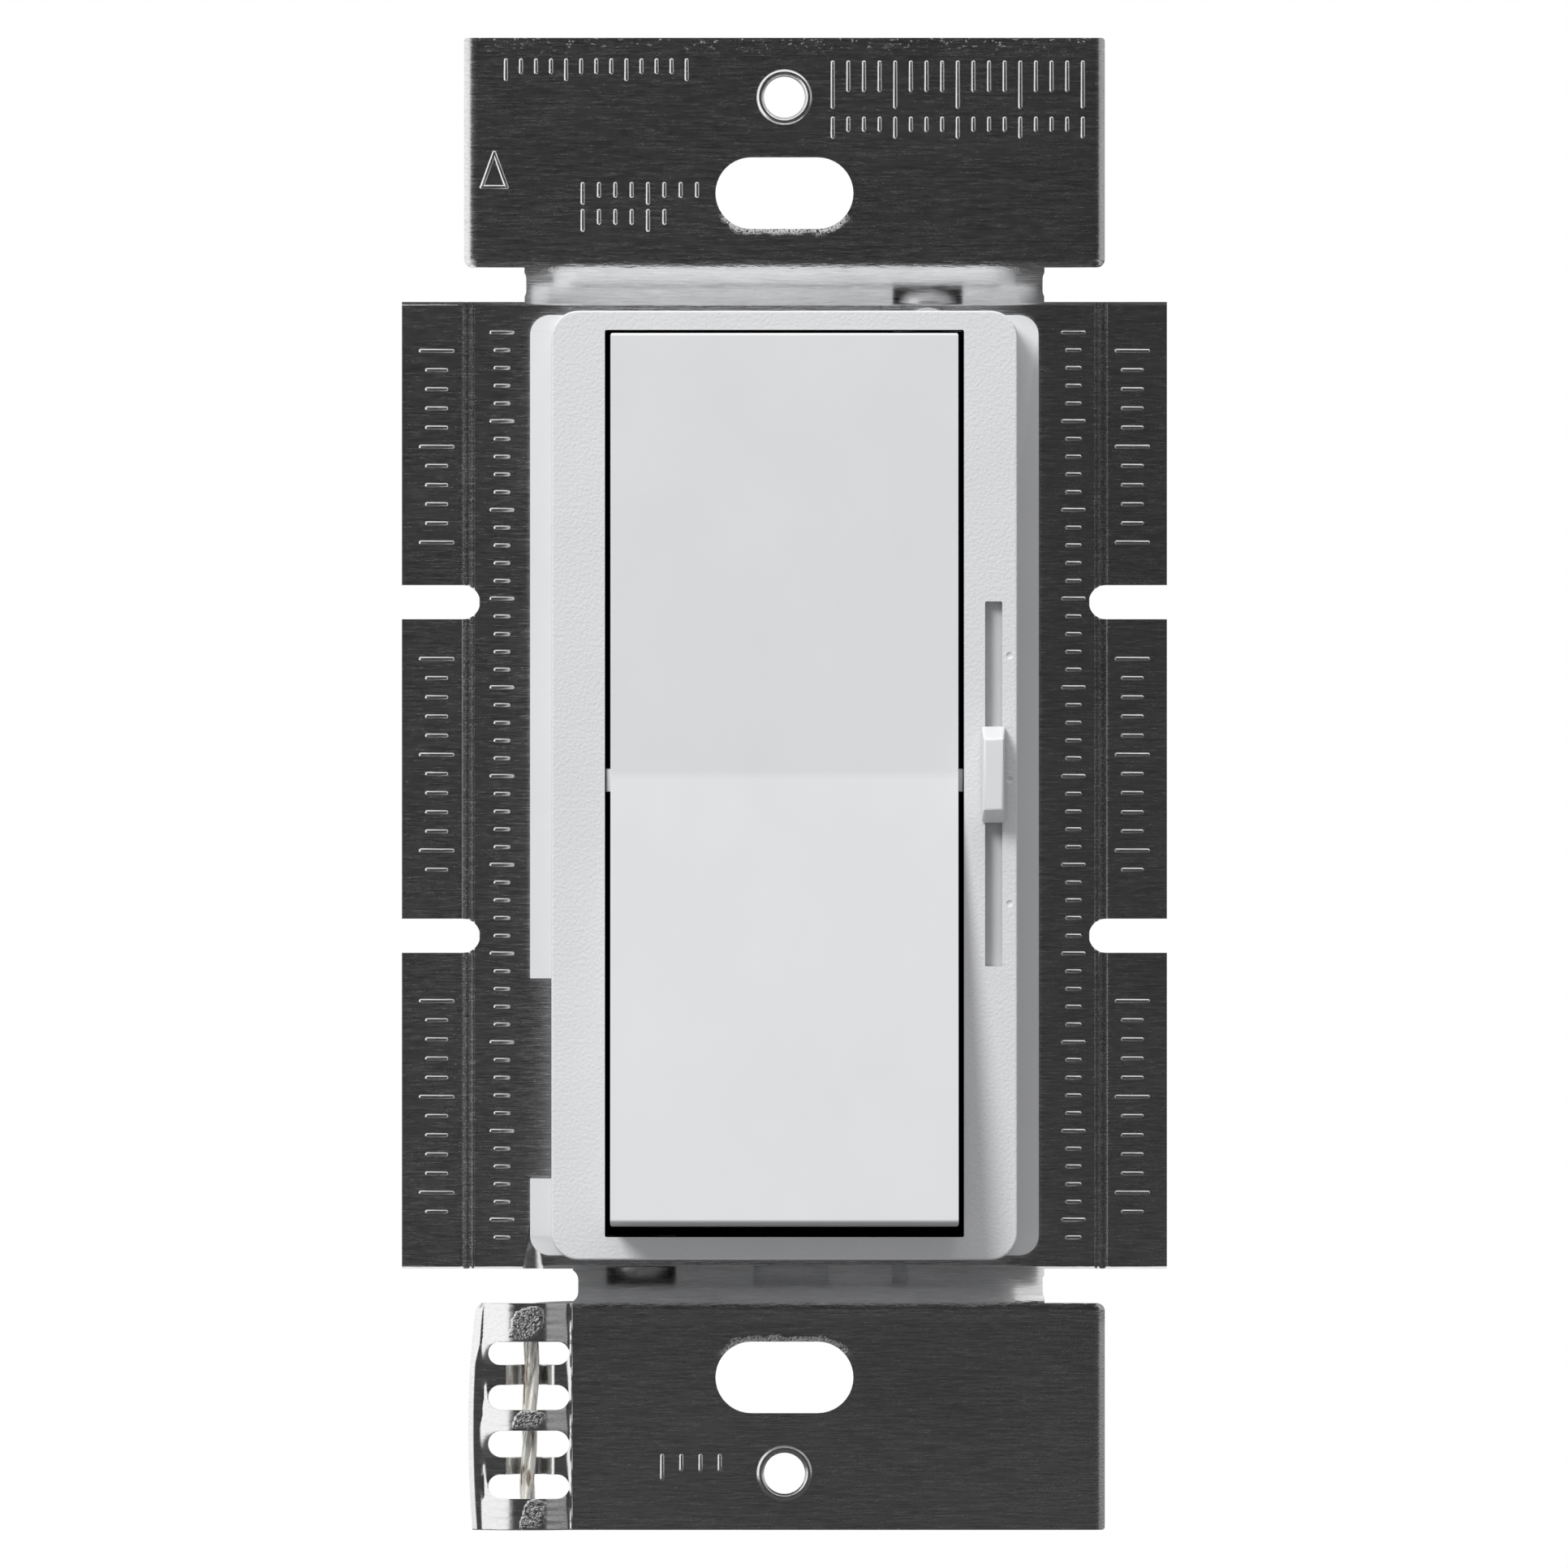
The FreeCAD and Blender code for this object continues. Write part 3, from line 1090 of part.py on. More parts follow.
def make_common_terminal():
    """Copper bracket on the board whose two ears hold the contact rocker's pin."""
    ear_in = CRADLE_HALF_W + BRACKET_GAP
    ear_out = ear_in + BRACKET_T
    front = CRADLE_Y - BRACKET_EYE
    ear = [
        (front, PIVOT_Z + BRACKET_EYE, BRACKET_EYE * 0.6),
        (front, PIVOT_Z - BRACKET_EYE, BRACKET_EYE * 0.6),
        (BOARD_Y, PIVOT_Z - BRACKET_FOOT, 0),
        (BOARD_Y, PIVOT_Z + BRACKET_FOOT, 0),
    ]
    left = prism(ear, side_point, -ear_out, -ear_in)
    right = prism(ear, side_point, ear_in, ear_out)
    foot_z = (PIVOT_Z - BRACKET_FOOT, PIVOT_Z + BRACKET_FOOT)
    base = block(-ear_out, ear_out, BOARD_Y - BRACKET_T, BOARD_Y, *foot_z)
    past = ear_out + OVER
    pin_hole = rod(PIN_R + PIN_FIT, V(-past, CRADLE_Y, PIVOT_Z), V(past, CRADLE_Y, PIVOT_Z))
    return base.fuse([left, right]).cut(pin_hole).removeSplitter()


def make_pivot_pin():
    """Steel pin of the contact rocker."""
    half = CRADLE_HALF_W + BRACKET_GAP + BRACKET_T + 2 * TAB_CLEAR
    return rod(PIN_R, V(-half, CRADLE_Y, PIVOT_Z), V(half, CRADLE_Y, PIVOT_Z))


def make_conductor():
    """Bare end of the ground lead: straight through the crimp, then bent to the rear."""
    wire_y = -BAR_ARCH + CRIMP_GAP + CONDUCTOR_R
    low_z = BOTTOM_EDGE + CONDUCTOR_END
    turn_z = LEAD_Z - LEAD_TURN
    bend = LEAD_TURN * (1 - math.cos(math.radians(45)))
    start = V(LEAD_X, wire_y, low_z)
    bend_in = V(LEAD_X, wire_y, turn_z)
    bend_mid = V(LEAD_X, wire_y + bend, LEAD_Z - bend)
    bend_out = V(LEAD_X, wire_y + LEAD_TURN, LEAD_Z)
    end = V(LEAD_X, LEAD_START_Y, LEAD_Z)
    path = Part.Wire(
        [
            Part.LineSegment(start, bend_in).toShape(),
            Part.Arc(bend_in, bend_mid, bend_out).toShape(),
            Part.LineSegment(bend_out, end).toShape(),
        ]
    )
    section = Part.Wire(Part.makeCircle(CONDUCTOR_R, start, V(0, 0, 1)))
    return path.makePipeShell([section], True, True)


def make_lead_coil():
    """Outer shape of the flat coil that the rest of the lead is put away in."""
    middle_r = (COIL_R + COIL_INNER_R) / 2
    half = (COIL_R - COIL_INNER_R) / 2 + LEAD_R
    low = COIL_Y + middle_r - half
    high = COIL_Y + middle_r + half
    profile = [
        (low, COIL_Z - LEAD_R, 0),
        (high, COIL_Z - LEAD_R, 0),
        (high, COIL_Z + LEAD_R, 0),
        (low, COIL_Z + LEAD_R, 0),
    ]
    centre_x = LEAD_X + COIL_R
    face = Part.Face(rounded_wire(profile, side_point, centre_x))
    return face.revolve(V(centre_x, COIL_Y, COIL_Z), V(0, 0, 1), 360)


def make_lead_tail(coil):
    """Insulated lead from the crimp to the coil."""
    start = V(LEAD_X, LEAD_START_Y, LEAD_Z)
    end = V(LEAD_X, COIL_Y - TAIL_SHORT, COIL_Z)
    tail = rod(LEAD_R, start, end)
    pieces = tail.cut(coil).Solids
    return min(pieces, key=lambda piece: piece.CenterOfMass.y)


def main():
    """Make every node and write it."""
    save("mounting_strap", make_strap())
    save("strap_rivets", make_rivets())
    save("base_frame", make_base_frame())
    save("bezel", make_bezel())
    save("paddle", make_paddle())
    save("paddle_plunger", make_plunger())
    save("paddle_spring", make_paddle_spring())
    save("speed_knob", make_knob())
    save("speed_shutter", make_shutter())
    save("speed_switch_case", make_switch_case())
    save("speed_contact_base", make_contact_base())
    save("speed_contacts", Part.Compound(contact_pads(0)))
    save("speed_carriage", make_carriage())
    save("speed_wiper", make_wiper())
    save("speed_detent_spring", make_detent_spring())
    save("contact_cradle", make_cradle())
    save("contact_arm", make_contact_arm())
    save("moving_contact", make_moving_contact())
    save("contact_pivot_pin", make_pivot_pin())
    save("common_terminal", make_common_terminal())
    save("fixed_contact", make_fixed_contact())
    save("switched_terminal", make_switched_terminal())
    save("circuit_board", make_board())
    save("lead_terminals", make_lead_terminals())
    save("speed_capacitor_large", capacitor(CAPACITOR_X, LARGE_Z, CAPACITOR_T))
    save("speed_capacitor_small", capacitor(CAPACITOR_X, SMALL_Z, CAPACITOR_T))
    save("noise_capacitor", capacitor(NOISE_X, NOISE_Z, NOISE_T))
    save("surge_suppressor", make_surge_suppressor())
    save("bleed_resistors", make_resistors())
    save("insulator_sheet", make_insulator())
    save("back_housing", make_housing())
    save("housing_screws", make_screws())
    save("ground_conductor", make_conductor())
    coil = make_lead_coil()
    save("ground_lead_coil", coil)
    save("ground_lead_tail", make_lead_tail(coil))


main()
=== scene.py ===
"""Fan speed control switch: rocker paddle and speed slider on a stamped aluminium strap.

Metres, in the frame's own axes: +Z is up and the front looks along -Y. Sizes that
belong to this object are written in millimetres and multiplied by MM.
"""

import logging
import math
from collections.abc import Callable, Sequence
from dataclasses import dataclass, field
from enum import Enum

import bpy
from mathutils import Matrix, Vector, noise


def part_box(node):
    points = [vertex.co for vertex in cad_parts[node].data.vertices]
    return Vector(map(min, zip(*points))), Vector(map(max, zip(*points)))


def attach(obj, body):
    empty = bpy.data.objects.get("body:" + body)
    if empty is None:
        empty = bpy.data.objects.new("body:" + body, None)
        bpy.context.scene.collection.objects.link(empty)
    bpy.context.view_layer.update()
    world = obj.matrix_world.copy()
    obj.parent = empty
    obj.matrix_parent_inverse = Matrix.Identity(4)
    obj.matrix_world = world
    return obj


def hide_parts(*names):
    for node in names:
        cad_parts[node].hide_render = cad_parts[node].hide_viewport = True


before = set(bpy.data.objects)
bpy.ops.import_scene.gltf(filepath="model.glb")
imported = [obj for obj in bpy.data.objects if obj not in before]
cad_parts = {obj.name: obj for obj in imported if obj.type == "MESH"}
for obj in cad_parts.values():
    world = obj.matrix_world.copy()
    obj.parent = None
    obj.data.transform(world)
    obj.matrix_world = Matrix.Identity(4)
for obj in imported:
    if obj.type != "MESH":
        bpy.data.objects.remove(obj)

MM = 0.001
log = logging.getLogger("fan_control")

Point = tuple[float, float, float]
Colour = tuple[float, float, float]
EdgeTest = Callable[[Vector, Vector], bool]


class Body(Enum):
    """The moving bodies of the control."""

    SWITCH = "switch_body"
    PADDLE = "paddle_body"
    SLIDER = "slider_body"
    CONTACT = "contact_body"


class Across(Enum):
    """Which way a pierced slot runs."""

    X = 0
    Z = 2


def node_box(node: str) -> tuple[Vector, Vector]:
    """The lowest and highest corner of a solid, in millimetres."""
    low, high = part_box(node)
    return Vector(low) / MM, Vector(high) / MM


# Modelling operations


def deselect() -> None:
    """Leave nothing selected."""
    bpy.ops.object.select_all(action="DESELECT")


def pick(piece: bpy.types.Object) -> bpy.types.Object:
    """Select one object alone and make it active."""
    deselect()
    piece.select_set(True)
    bpy.context.view_layer.objects.active = piece
    return piece


def settle(name: str) -> bpy.types.Object:
    """Name the object that was just added and put its place into its mesh."""
    piece = bpy.context.active_object
    piece.name = name
    piece.data.name = name
    pick(piece)
    bpy.ops.object.transform_apply(location=True, rotation=True, scale=True)
    return piece


def add_block(name: str, low: Sequence[float], high: Sequence[float]) -> bpy.types.Object:
    """A box between two corners in millimetres.

    Args:
        name: The new object's name.
        low: Lowest corner.
        high: Highest corner.

    Returns:
        The box, with its place in its mesh.
    """
    centre = [(a + b) / 2 * MM for a, b in zip(low, high)]
    size = [(b - a) * MM for a, b in zip(low, high)]
    deselect()
    bpy.ops.mesh.primitive_cube_add(size=1, location=centre)
    bpy.context.active_object.scale = size
    return settle(name)


def add_rod(name: str, radius: float, start: Point, end: Point, sides: int = 64) -> bpy.types.Object:
    """A round bar between two points in millimetres.

    Args:
        name: The new object's name.
        radius: Radius in millimetres.
        start: One end of its axis.
        end: The other end.
        sides: How many faces go round it.

    Returns:
        The bar, with its place in its mesh.
    """
    a, b = Vector(start) * MM, Vector(end) * MM
    turn = Vector((0, 0, 1)).rotation_difference(b - a).to_euler()
    deselect()
    bpy.ops.mesh.primitive_cylinder_add(
        vertices=sides, radius=radius * MM, depth=(b - a).length, location=(a + b) / 2, rotation=turn
    )
    return settle(name)


def in_edit(piece: bpy.types.Object, mode: str = "EDGE") -> None:
    """Enter edit mode on a piece with nothing selected."""
    pick(piece)
    bpy.ops.object.mode_set(mode="EDIT")
    bpy.ops.mesh.select_mode(type=mode)
    bpy.ops.mesh.select_all(action="DESELECT")


def leave_edit() -> None:
    """Return to object mode."""
    bpy.ops.object.mode_set(mode="OBJECT")


def select_edges(piece: bpy.types.Object, test: EdgeTest) -> int:
    """Select the edges that pass a test on their two ends, in millimetres, and stay in edit mode.

    Args:
        piece: The mesh object.
        test: Takes both ends of an edge and says whether it is wanted.

    Returns:
        How many edges were selected.
    """
    in_edit(piece)
    leave_edit()
    mesh = piece.data
    count = 0
    for edge in mesh.edges:
        a, b = (mesh.vertices[i].co / MM for i in edge.vertices)
        edge.select = test(a, b)
        count += edge.select
    bpy.ops.object.mode_set(mode="EDIT")
    return count


def bevel_edges(piece: bpy.types.Object, test: EdgeTest, width: float, segments: int) -> None:
    """Round the edges that pass a test, by a width in millimetres."""
    if select_edges(piece, test):
        bpy.ops.mesh.bevel(offset=width * MM, segments=segments, affect="EDGES", clamp_overlap=True)
    leave_edit()


def apply_modifier(piece: bpy.types.Object, kind: str, **settings: object) -> None:
    """Add one modifier with its settings and apply it."""
    pick(piece)
    modifier = piece.modifiers.new(kind.title(), kind)
    for key, value in settings.items():
        setattr(modifier, key, value)
    bpy.ops.object.modifier_apply(modifier=modifier.name)


def join(name: str, pieces: Sequence[bpy.types.Object]) -> bpy.types.Object:
    """Join several mesh objects into the first one."""
    deselect()
    for piece in pieces:
        piece.select_set(True)
    bpy.context.view_layer.objects.active = pieces[0]
    if len(pieces) > 1:
        bpy.ops.object.join()
    joined = bpy.context.active_object
    joined.name = name
    joined.data.name = name
    return joined


def cut_with(piece: bpy.types.Object, cutters: Sequence[bpy.types.Object], operation: str = "DIFFERENCE") -> None:
    """Cut a piece with other objects, which are used up."""
    tool = join("cutter", cutters)
    apply_modifier(piece, "BOOLEAN", object=tool, operation=operation, solver="EXACT", use_self=True)
    bpy.data.objects.remove(tool)


def clean(piece: bpy.types.Object, flat_degrees: float = 0.6) -> None:
    """Merge doubles, and dissolve the edges that flat faces don't need."""
    in_edit(piece, "VERT")
    bpy.ops.mesh.select_all(action="SELECT")
    bpy.ops.mesh.remove_doubles(threshold=0.002 * MM)
    bpy.ops.mesh.dissolve_limited(angle_limit=math.radians(flat_degrees))
    leave_edit()


def soften(piece: bpy.types.Object, width: float, segments: int = 2, over_degrees: float = 35) -> None:
    """Round every sharp edge a little and shade the piece smooth.

    Args:
        piece: The mesh object.
        width: Width of the rounding in millimetres.
        segments: Faces across the rounding.
        over_degrees: Only edges sharper than this are rounded.
    """
    apply_modifier(
        piece,
        "BEVEL",
        width=width * MM,
        segments=segments,
        limit_method="ANGLE",
        angle_limit=math.radians(over_degrees),
        miter_outer="MITER_ARC",
        use_clamp_overlap=True,
    )
    smooth(piece)
    apply_modifier(piece, "WEIGHTED_NORMAL", keep_sharp=True, weight=60)


def smooth(piece: bpy.types.Object, degrees: float = 40) -> None:
    """Shade a piece smooth, apart from the edges that are sharper than an angle."""
    pick(piece)
    bpy.ops.object.shade_smooth_by_angle(angle=math.radians(degrees))


def recalculate(piece: bpy.types.Object) -> None:
    """Turn every face of a closed mesh outwards."""
    in_edit(piece, "FACE")
    bpy.ops.mesh.select_all(action="SELECT")
    bpy.ops.mesh.normals_make_consistent(inside=False)
    leave_edit()


def bisect(piece: bpy.types.Object, place: Point, normal: Point) -> None:
    """Add an edge loop where a plane meets the mesh, with the place in millimetres."""
    in_edit(piece, "VERT")
    bpy.ops.mesh.select_all(action="SELECT")
    bpy.ops.mesh.bisect(plane_co=Vector(place) * MM, plane_no=normal, use_fill=False, threshold=1e-7)
    leave_edit()


def slot_tool(
    name: str, centre: tuple[float, float], half: tuple[float, float], depth: tuple[float, float], radius: float
) -> bpy.types.Object:
    """A cutting block with rounded ends that faces along Y.

    Args:
        name: The tool's name.
        centre: X and Z of its middle.
        half: Half its width along X and half its height along Z.
        depth: Where it starts and ends along Y.
        radius: Radius of its four corners.

    Returns:
        The tool, in millimetres scaled to metres.
    """
    low = (centre[0] - half[0], depth[0], centre[1] - half[1])
    high = (centre[0] + half[0], depth[1], centre[1] + half[1])
    tool = add_block(name, low, high)
    along_y = lambda a, b: abs(a.y - b.y) > 0.5 * (depth[1] - depth[0])
    bevel_edges(tool, along_y, min(radius, min(half) * 0.999), 10)
    return tool


def copy_of(node: str, name: str) -> bpy.types.Object:
    """A merged copy of a solid's mesh, to be refined."""
    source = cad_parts[node]
    piece = bpy.data.objects.new(name, source.data.copy())
    bpy.context.scene.collection.objects.link(piece)
    piece.data.materials.clear()
    clean(piece)
    return piece


def hand_over(
    piece: bpy.types.Object, finish: "Finish", body: Body, nodes: Sequence[str] = ()
) -> None:
    """Dress a finished piece and make it ride on its body.

    Args:
        piece: The finished object.
        finish: Its finish.
        body: The body that it moves with.
        nodes: The solids that it stands for.
    """
    piece.data.materials.clear()
    piece.data.materials.append(finish.material())
    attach(piece, body.value)
    if nodes:
        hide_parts(*nodes)
    faces = len(piece.data.polygons) if piece.type == "MESH" else 0
    log.info("%s: %d faces on %s", piece.name, faces, body.value)


# Node groups and finishes


class Sheet:
    """A node tree with short calls for adding and joining nodes."""

    def __init__(self, tree: bpy.types.NodeTree) -> None:
        """Work on this tree."""
        self.tree = tree

    def add(self, kind: str, **settings: object) -> bpy.types.Node:
        """Add a node, set its properties, and its inputs where a name is an input's."""
        made = self.tree.nodes.new(kind)
        for key, value in settings.items():
            if hasattr(made, key):
                setattr(made, key, value)
            else:
                made.inputs[key.replace("_", " ")].default_value = value
        return made

    def join(self, source: bpy.types.NodeSocket, target: bpy.types.NodeSocket) -> None:
        """Link two sockets."""
        self.tree.links.new(source, target)

    def maths(self, operation: str, *values: object, clamp: bool = False) -> bpy.types.NodeSocket:
        """One Math node whose inputs are sockets or numbers; gives its output."""
        made = self.tree.nodes.new("ShaderNodeMath")
        made.operation = operation
        made.use_clamp = clamp
        for i, value in enumerate(values):
            if isinstance(value, (int, float)):
                made.inputs[i].default_value = value
            else:
                self.join(value, made.inputs[i])
        return made.outputs[0]

    def ramp(self, value: object, low: float, high: float, start: float = 0.0, end: float = 1.0) -> bpy.types.NodeSocket:
        """Map a value from one range to another, clamped."""
        made = self.tree.nodes.new("ShaderNodeMapRange")
        self.join(value, made.inputs["Value"])
        made.inputs["From Min"].default_value = low
        made.inputs["From Max"].default_value = high
        made.inputs["To Min"].default_value = start
        made.inputs["To Max"].default_value = end
        return made.outputs["Result"]

    def mix(self, factor: object, first: Colour, second: Colour) -> bpy.types.NodeSocket:
        """Mix two colours by a socket."""
        made = self.tree.nodes.new("ShaderNodeMix")
        made.data_type = "RGBA"
        self.join(factor, made.inputs["Factor"])
        made.inputs["A"].default_value = (*first, 1)
        made.inputs["B"].default_value = (*second, 1)
        return made.outputs["Result"]

    def stretched(self, vector: bpy.types.NodeSocket, scale: Point, detail: float = 3.0) -> bpy.types.NodeSocket:
        """Noise on a stretched copy of a coordinate; gives its value."""
        mapping = self.add("ShaderNodeMapping")
        mapping.inputs["Scale"].default_value = scale
        self.join(vector, mapping.inputs["Vector"])
        texture = self.add("ShaderNodeTexNoise", Scale=1.0, Detail=detail, Roughness=0.6)
        self.join(mapping.outputs["Vector"], texture.inputs["Vector"])
        return texture.outputs["Fac"]


def make_group(name: str, inputs: Sequence[tuple[str, str, float]], outputs: Sequence[str]) -> Sheet:
    """Start a shader node group with its interface.

    Args:
        name: The group's name.
        inputs: Name, socket type and default of each input.
        outputs: Names of the float outputs.

    Returns:
        The group's tree, ready for its nodes.
    """
    tree = bpy.data.node_groups.new(name, "ShaderNodeTree")
    for label, kind, default in inputs:
        made = tree.interface.new_socket(name=label, in_out="INPUT", socket_type=kind)
        if kind == "NodeSocketFloat":
            made.default_value = default
    for label in outputs:
        tree.interface.new_socket(name=label, in_out="OUTPUT", socket_type="NodeSocketFloat")
    return Sheet(tree)


def brushed_group() -> bpy.types.NodeTree:
    """Fine streaks along X with slow clouds, for brushed sheet and turned metal."""
    name = "brushed_streaks"
    if name in bpy.data.node_groups:
        return bpy.data.node_groups[name]
    inputs = [("Vector", "NodeSocketVector", 0), ("Length", "NodeSocketFloat", 1), ("Width", "NodeSocketFloat", 1)]
    sheet = make_group(name, inputs, ["Streaks", "Clouds"])
    entry = sheet.add("NodeGroupInput")
    exit_node = sheet.add("NodeGroupOutput")
    layers = []
    for scale in ((520.0, 6500.0, 9500.0), (1300.0, 9000.0, 17000.0)):
        combine = sheet.add("ShaderNodeCombineXYZ")
        sheet.join(sheet.maths("MULTIPLY", entry.outputs["Length"], scale[0]), combine.inputs["X"])
        sheet.join(sheet.maths("MULTIPLY", entry.outputs["Width"], scale[1]), combine.inputs["Y"])
        sheet.join(sheet.maths("MULTIPLY", entry.outputs["Width"], scale[2]), combine.inputs["Z"])
        scaled = sheet.add("ShaderNodeVectorMath", operation="MULTIPLY")
        sheet.join(entry.outputs["Vector"], scaled.inputs[0])
        sheet.join(combine.outputs["Vector"], scaled.inputs[1])
        texture = sheet.add("ShaderNodeTexNoise", Scale=1.0, Detail=2.0, Roughness=0.65)
        sheet.join(scaled.outputs["Vector"], texture.inputs["Vector"])
        layers.append(texture.outputs["Fac"])
    both = sheet.maths("MULTIPLY_ADD", layers[0], 0.62, sheet.maths("MULTIPLY", layers[1], 0.38))
    sheet.join(sheet.ramp(both, 0.3, 0.7), exit_node.inputs["Streaks"])
    clouds = sheet.stretched(entry.outputs["Vector"], (70.0, 120.0, 190.0), 2.0)
    sheet.join(sheet.ramp(clouds, 0.3, 0.7), exit_node.inputs["Clouds"])
    return sheet.tree


def moulded_group() -> bpy.types.NodeTree:
    """Fine spark-eroded grain with a faint slow mottle, for moulded plastic."""
    name = "moulded_grain"
    if name in bpy.data.node_groups:
        return bpy.data.node_groups[name]
    inputs = [("Vector", "NodeSocketVector", 0), ("Grain", "NodeSocketFloat", 9000)]
    sheet = make_group(name, inputs, ["Height", "Mottle"])
    entry = sheet.add("NodeGroupInput")
    exit_node = sheet.add("NodeGroupOutput")
    texture = sheet.add("ShaderNodeTexNoise", Detail=2.0, Roughness=0.55)
    sheet.join(entry.outputs["Vector"], texture.inputs["Vector"])
    sheet.join(entry.outputs["Grain"], texture.inputs["Scale"])
    sheet.join(texture.outputs["Fac"], exit_node.inputs["Height"])
    mottle = sheet.stretched(entry.outputs["Vector"], (160.0, 160.0, 110.0), 2.0)
    sheet.join(sheet.ramp(mottle, 0.3, 0.7), exit_node.inputs["Mottle"])
    return sheet.tree


@dataclass(frozen=True)
class Finish:
    """A procedural finish. Subclasses paint their nodes on a fresh material."""

    name: str
    colour: Colour

    def material(self) -> bpy.types.Material:
        """The finish's material, made once."""
        label = self.name + "_finish"
        found = bpy.data.materials.get(label)
        if found:
            return found
        made = bpy.data.materials.new(label)
        made.use_nodes = True
        made.diffuse_color = (*self.colour, 1)
        sheet = Sheet(made.node_tree)
        shader = made.node_tree.nodes["Principled BSDF"]
        place = sheet.add("ShaderNodeTexCoord").outputs["Object"]
        self.paint(sheet, shader, place)
        return made

    def paint(self, sheet: Sheet, shader: bpy.types.Node, place: bpy.types.NodeSocket) -> None:
        """Add the finish's own nodes."""
        raise NotImplementedError

    def bump(self, sheet: Sheet, shader: bpy.types.Node, height: object, strength: float, depth: float) -> None:
        """Feed a height in millimetres times depth to the shader's normal."""
        made = sheet.add("ShaderNodeBump", Strength=strength, Distance=depth * MM)
        sheet.join(height, made.inputs["Height"])
        sheet.join(made.outputs["Normal"], shader.inputs["Normal"])


@dataclass(frozen=True)
class BrushedMetal(Finish):
    """Brushed metal with streaks along X, rough bands and scuffs."""

    roughness: float = 0.34
    spread: float = 0.08
    shade: float = 0.12
    relief: float = 0.006
    length: float = 1.0
    width: float = 1.0
    metal: float = 1.0

    def paint(self, sheet: Sheet, shader: bpy.types.Node, place: bpy.types.NodeSocket) -> None:
        """Streaks change the colour and roughness a little, and the normal."""
        group = sheet.add("ShaderNodeGroup", node_tree=brushed_group())
        group.inputs["Length"].default_value = self.length
        group.inputs["Width"].default_value = self.width
        sheet.join(place, group.inputs["Vector"])
        streaks = group.outputs["Streaks"]
        clouds = group.outputs["Clouds"]
        tone = sheet.maths("MULTIPLY_ADD", clouds, 0.2, sheet.maths("MULTIPLY", streaks, 0.8))
        dark = tuple(c * (1 - self.shade) for c in self.colour)
        light = tuple(min(1.0, c * (1 + self.shade)) for c in self.colour)
        sheet.join(sheet.mix(tone, dark, light), shader.inputs["Base Color"])
        rough = sheet.ramp(streaks, 0, 1, self.roughness - self.spread, self.roughness + self.spread)
        sheet.join(rough, shader.inputs["Roughness"])
        shader.inputs["Metallic"].default_value = self.metal
        self.bump(sheet, shader, streaks, 0.55, self.relief)


@dataclass(frozen=True)
class Moulded(Finish):
    """Moulded plastic: even colour with a faint mottle and spark-eroded grain."""

    roughness: float = 0.42
    grain: float = 9000.0
    relief: float = 0.006
    tone: float = 0.015
    coat: float = 0.0
    sheen_ior: float = 1.46

    def paint(self, sheet: Sheet, shader: bpy.types.Node, place: bpy.types.NodeSocket) -> None:
        """Grain feeds the bump and roughness, and the mottle the colour."""
        group = sheet.add("ShaderNodeGroup", node_tree=moulded_group())
        group.inputs["Grain"].default_value = self.grain
        sheet.join(place, group.inputs["Vector"])
        dark = tuple(c * (1 - self.tone) for c in self.colour)
        light = tuple(min(1.0, c * (1 + self.tone)) for c in self.colour)
        sheet.join(sheet.mix(group.outputs["Mottle"], dark, light), shader.inputs["Base Color"])
        rough = sheet.ramp(group.outputs["Height"], 0.3, 0.7, self.roughness - 0.05, self.roughness + 0.05)
        sheet.join(rough, shader.inputs["Roughness"])
        shader.inputs["IOR"].default_value = self.sheen_ior
        shader.inputs["Coat Weight"].default_value = self.coat
        shader.inputs["Coat Roughness"].default_value = 0.2
        self.bump(sheet, shader, group.outputs["Height"], 0.8, self.relief)


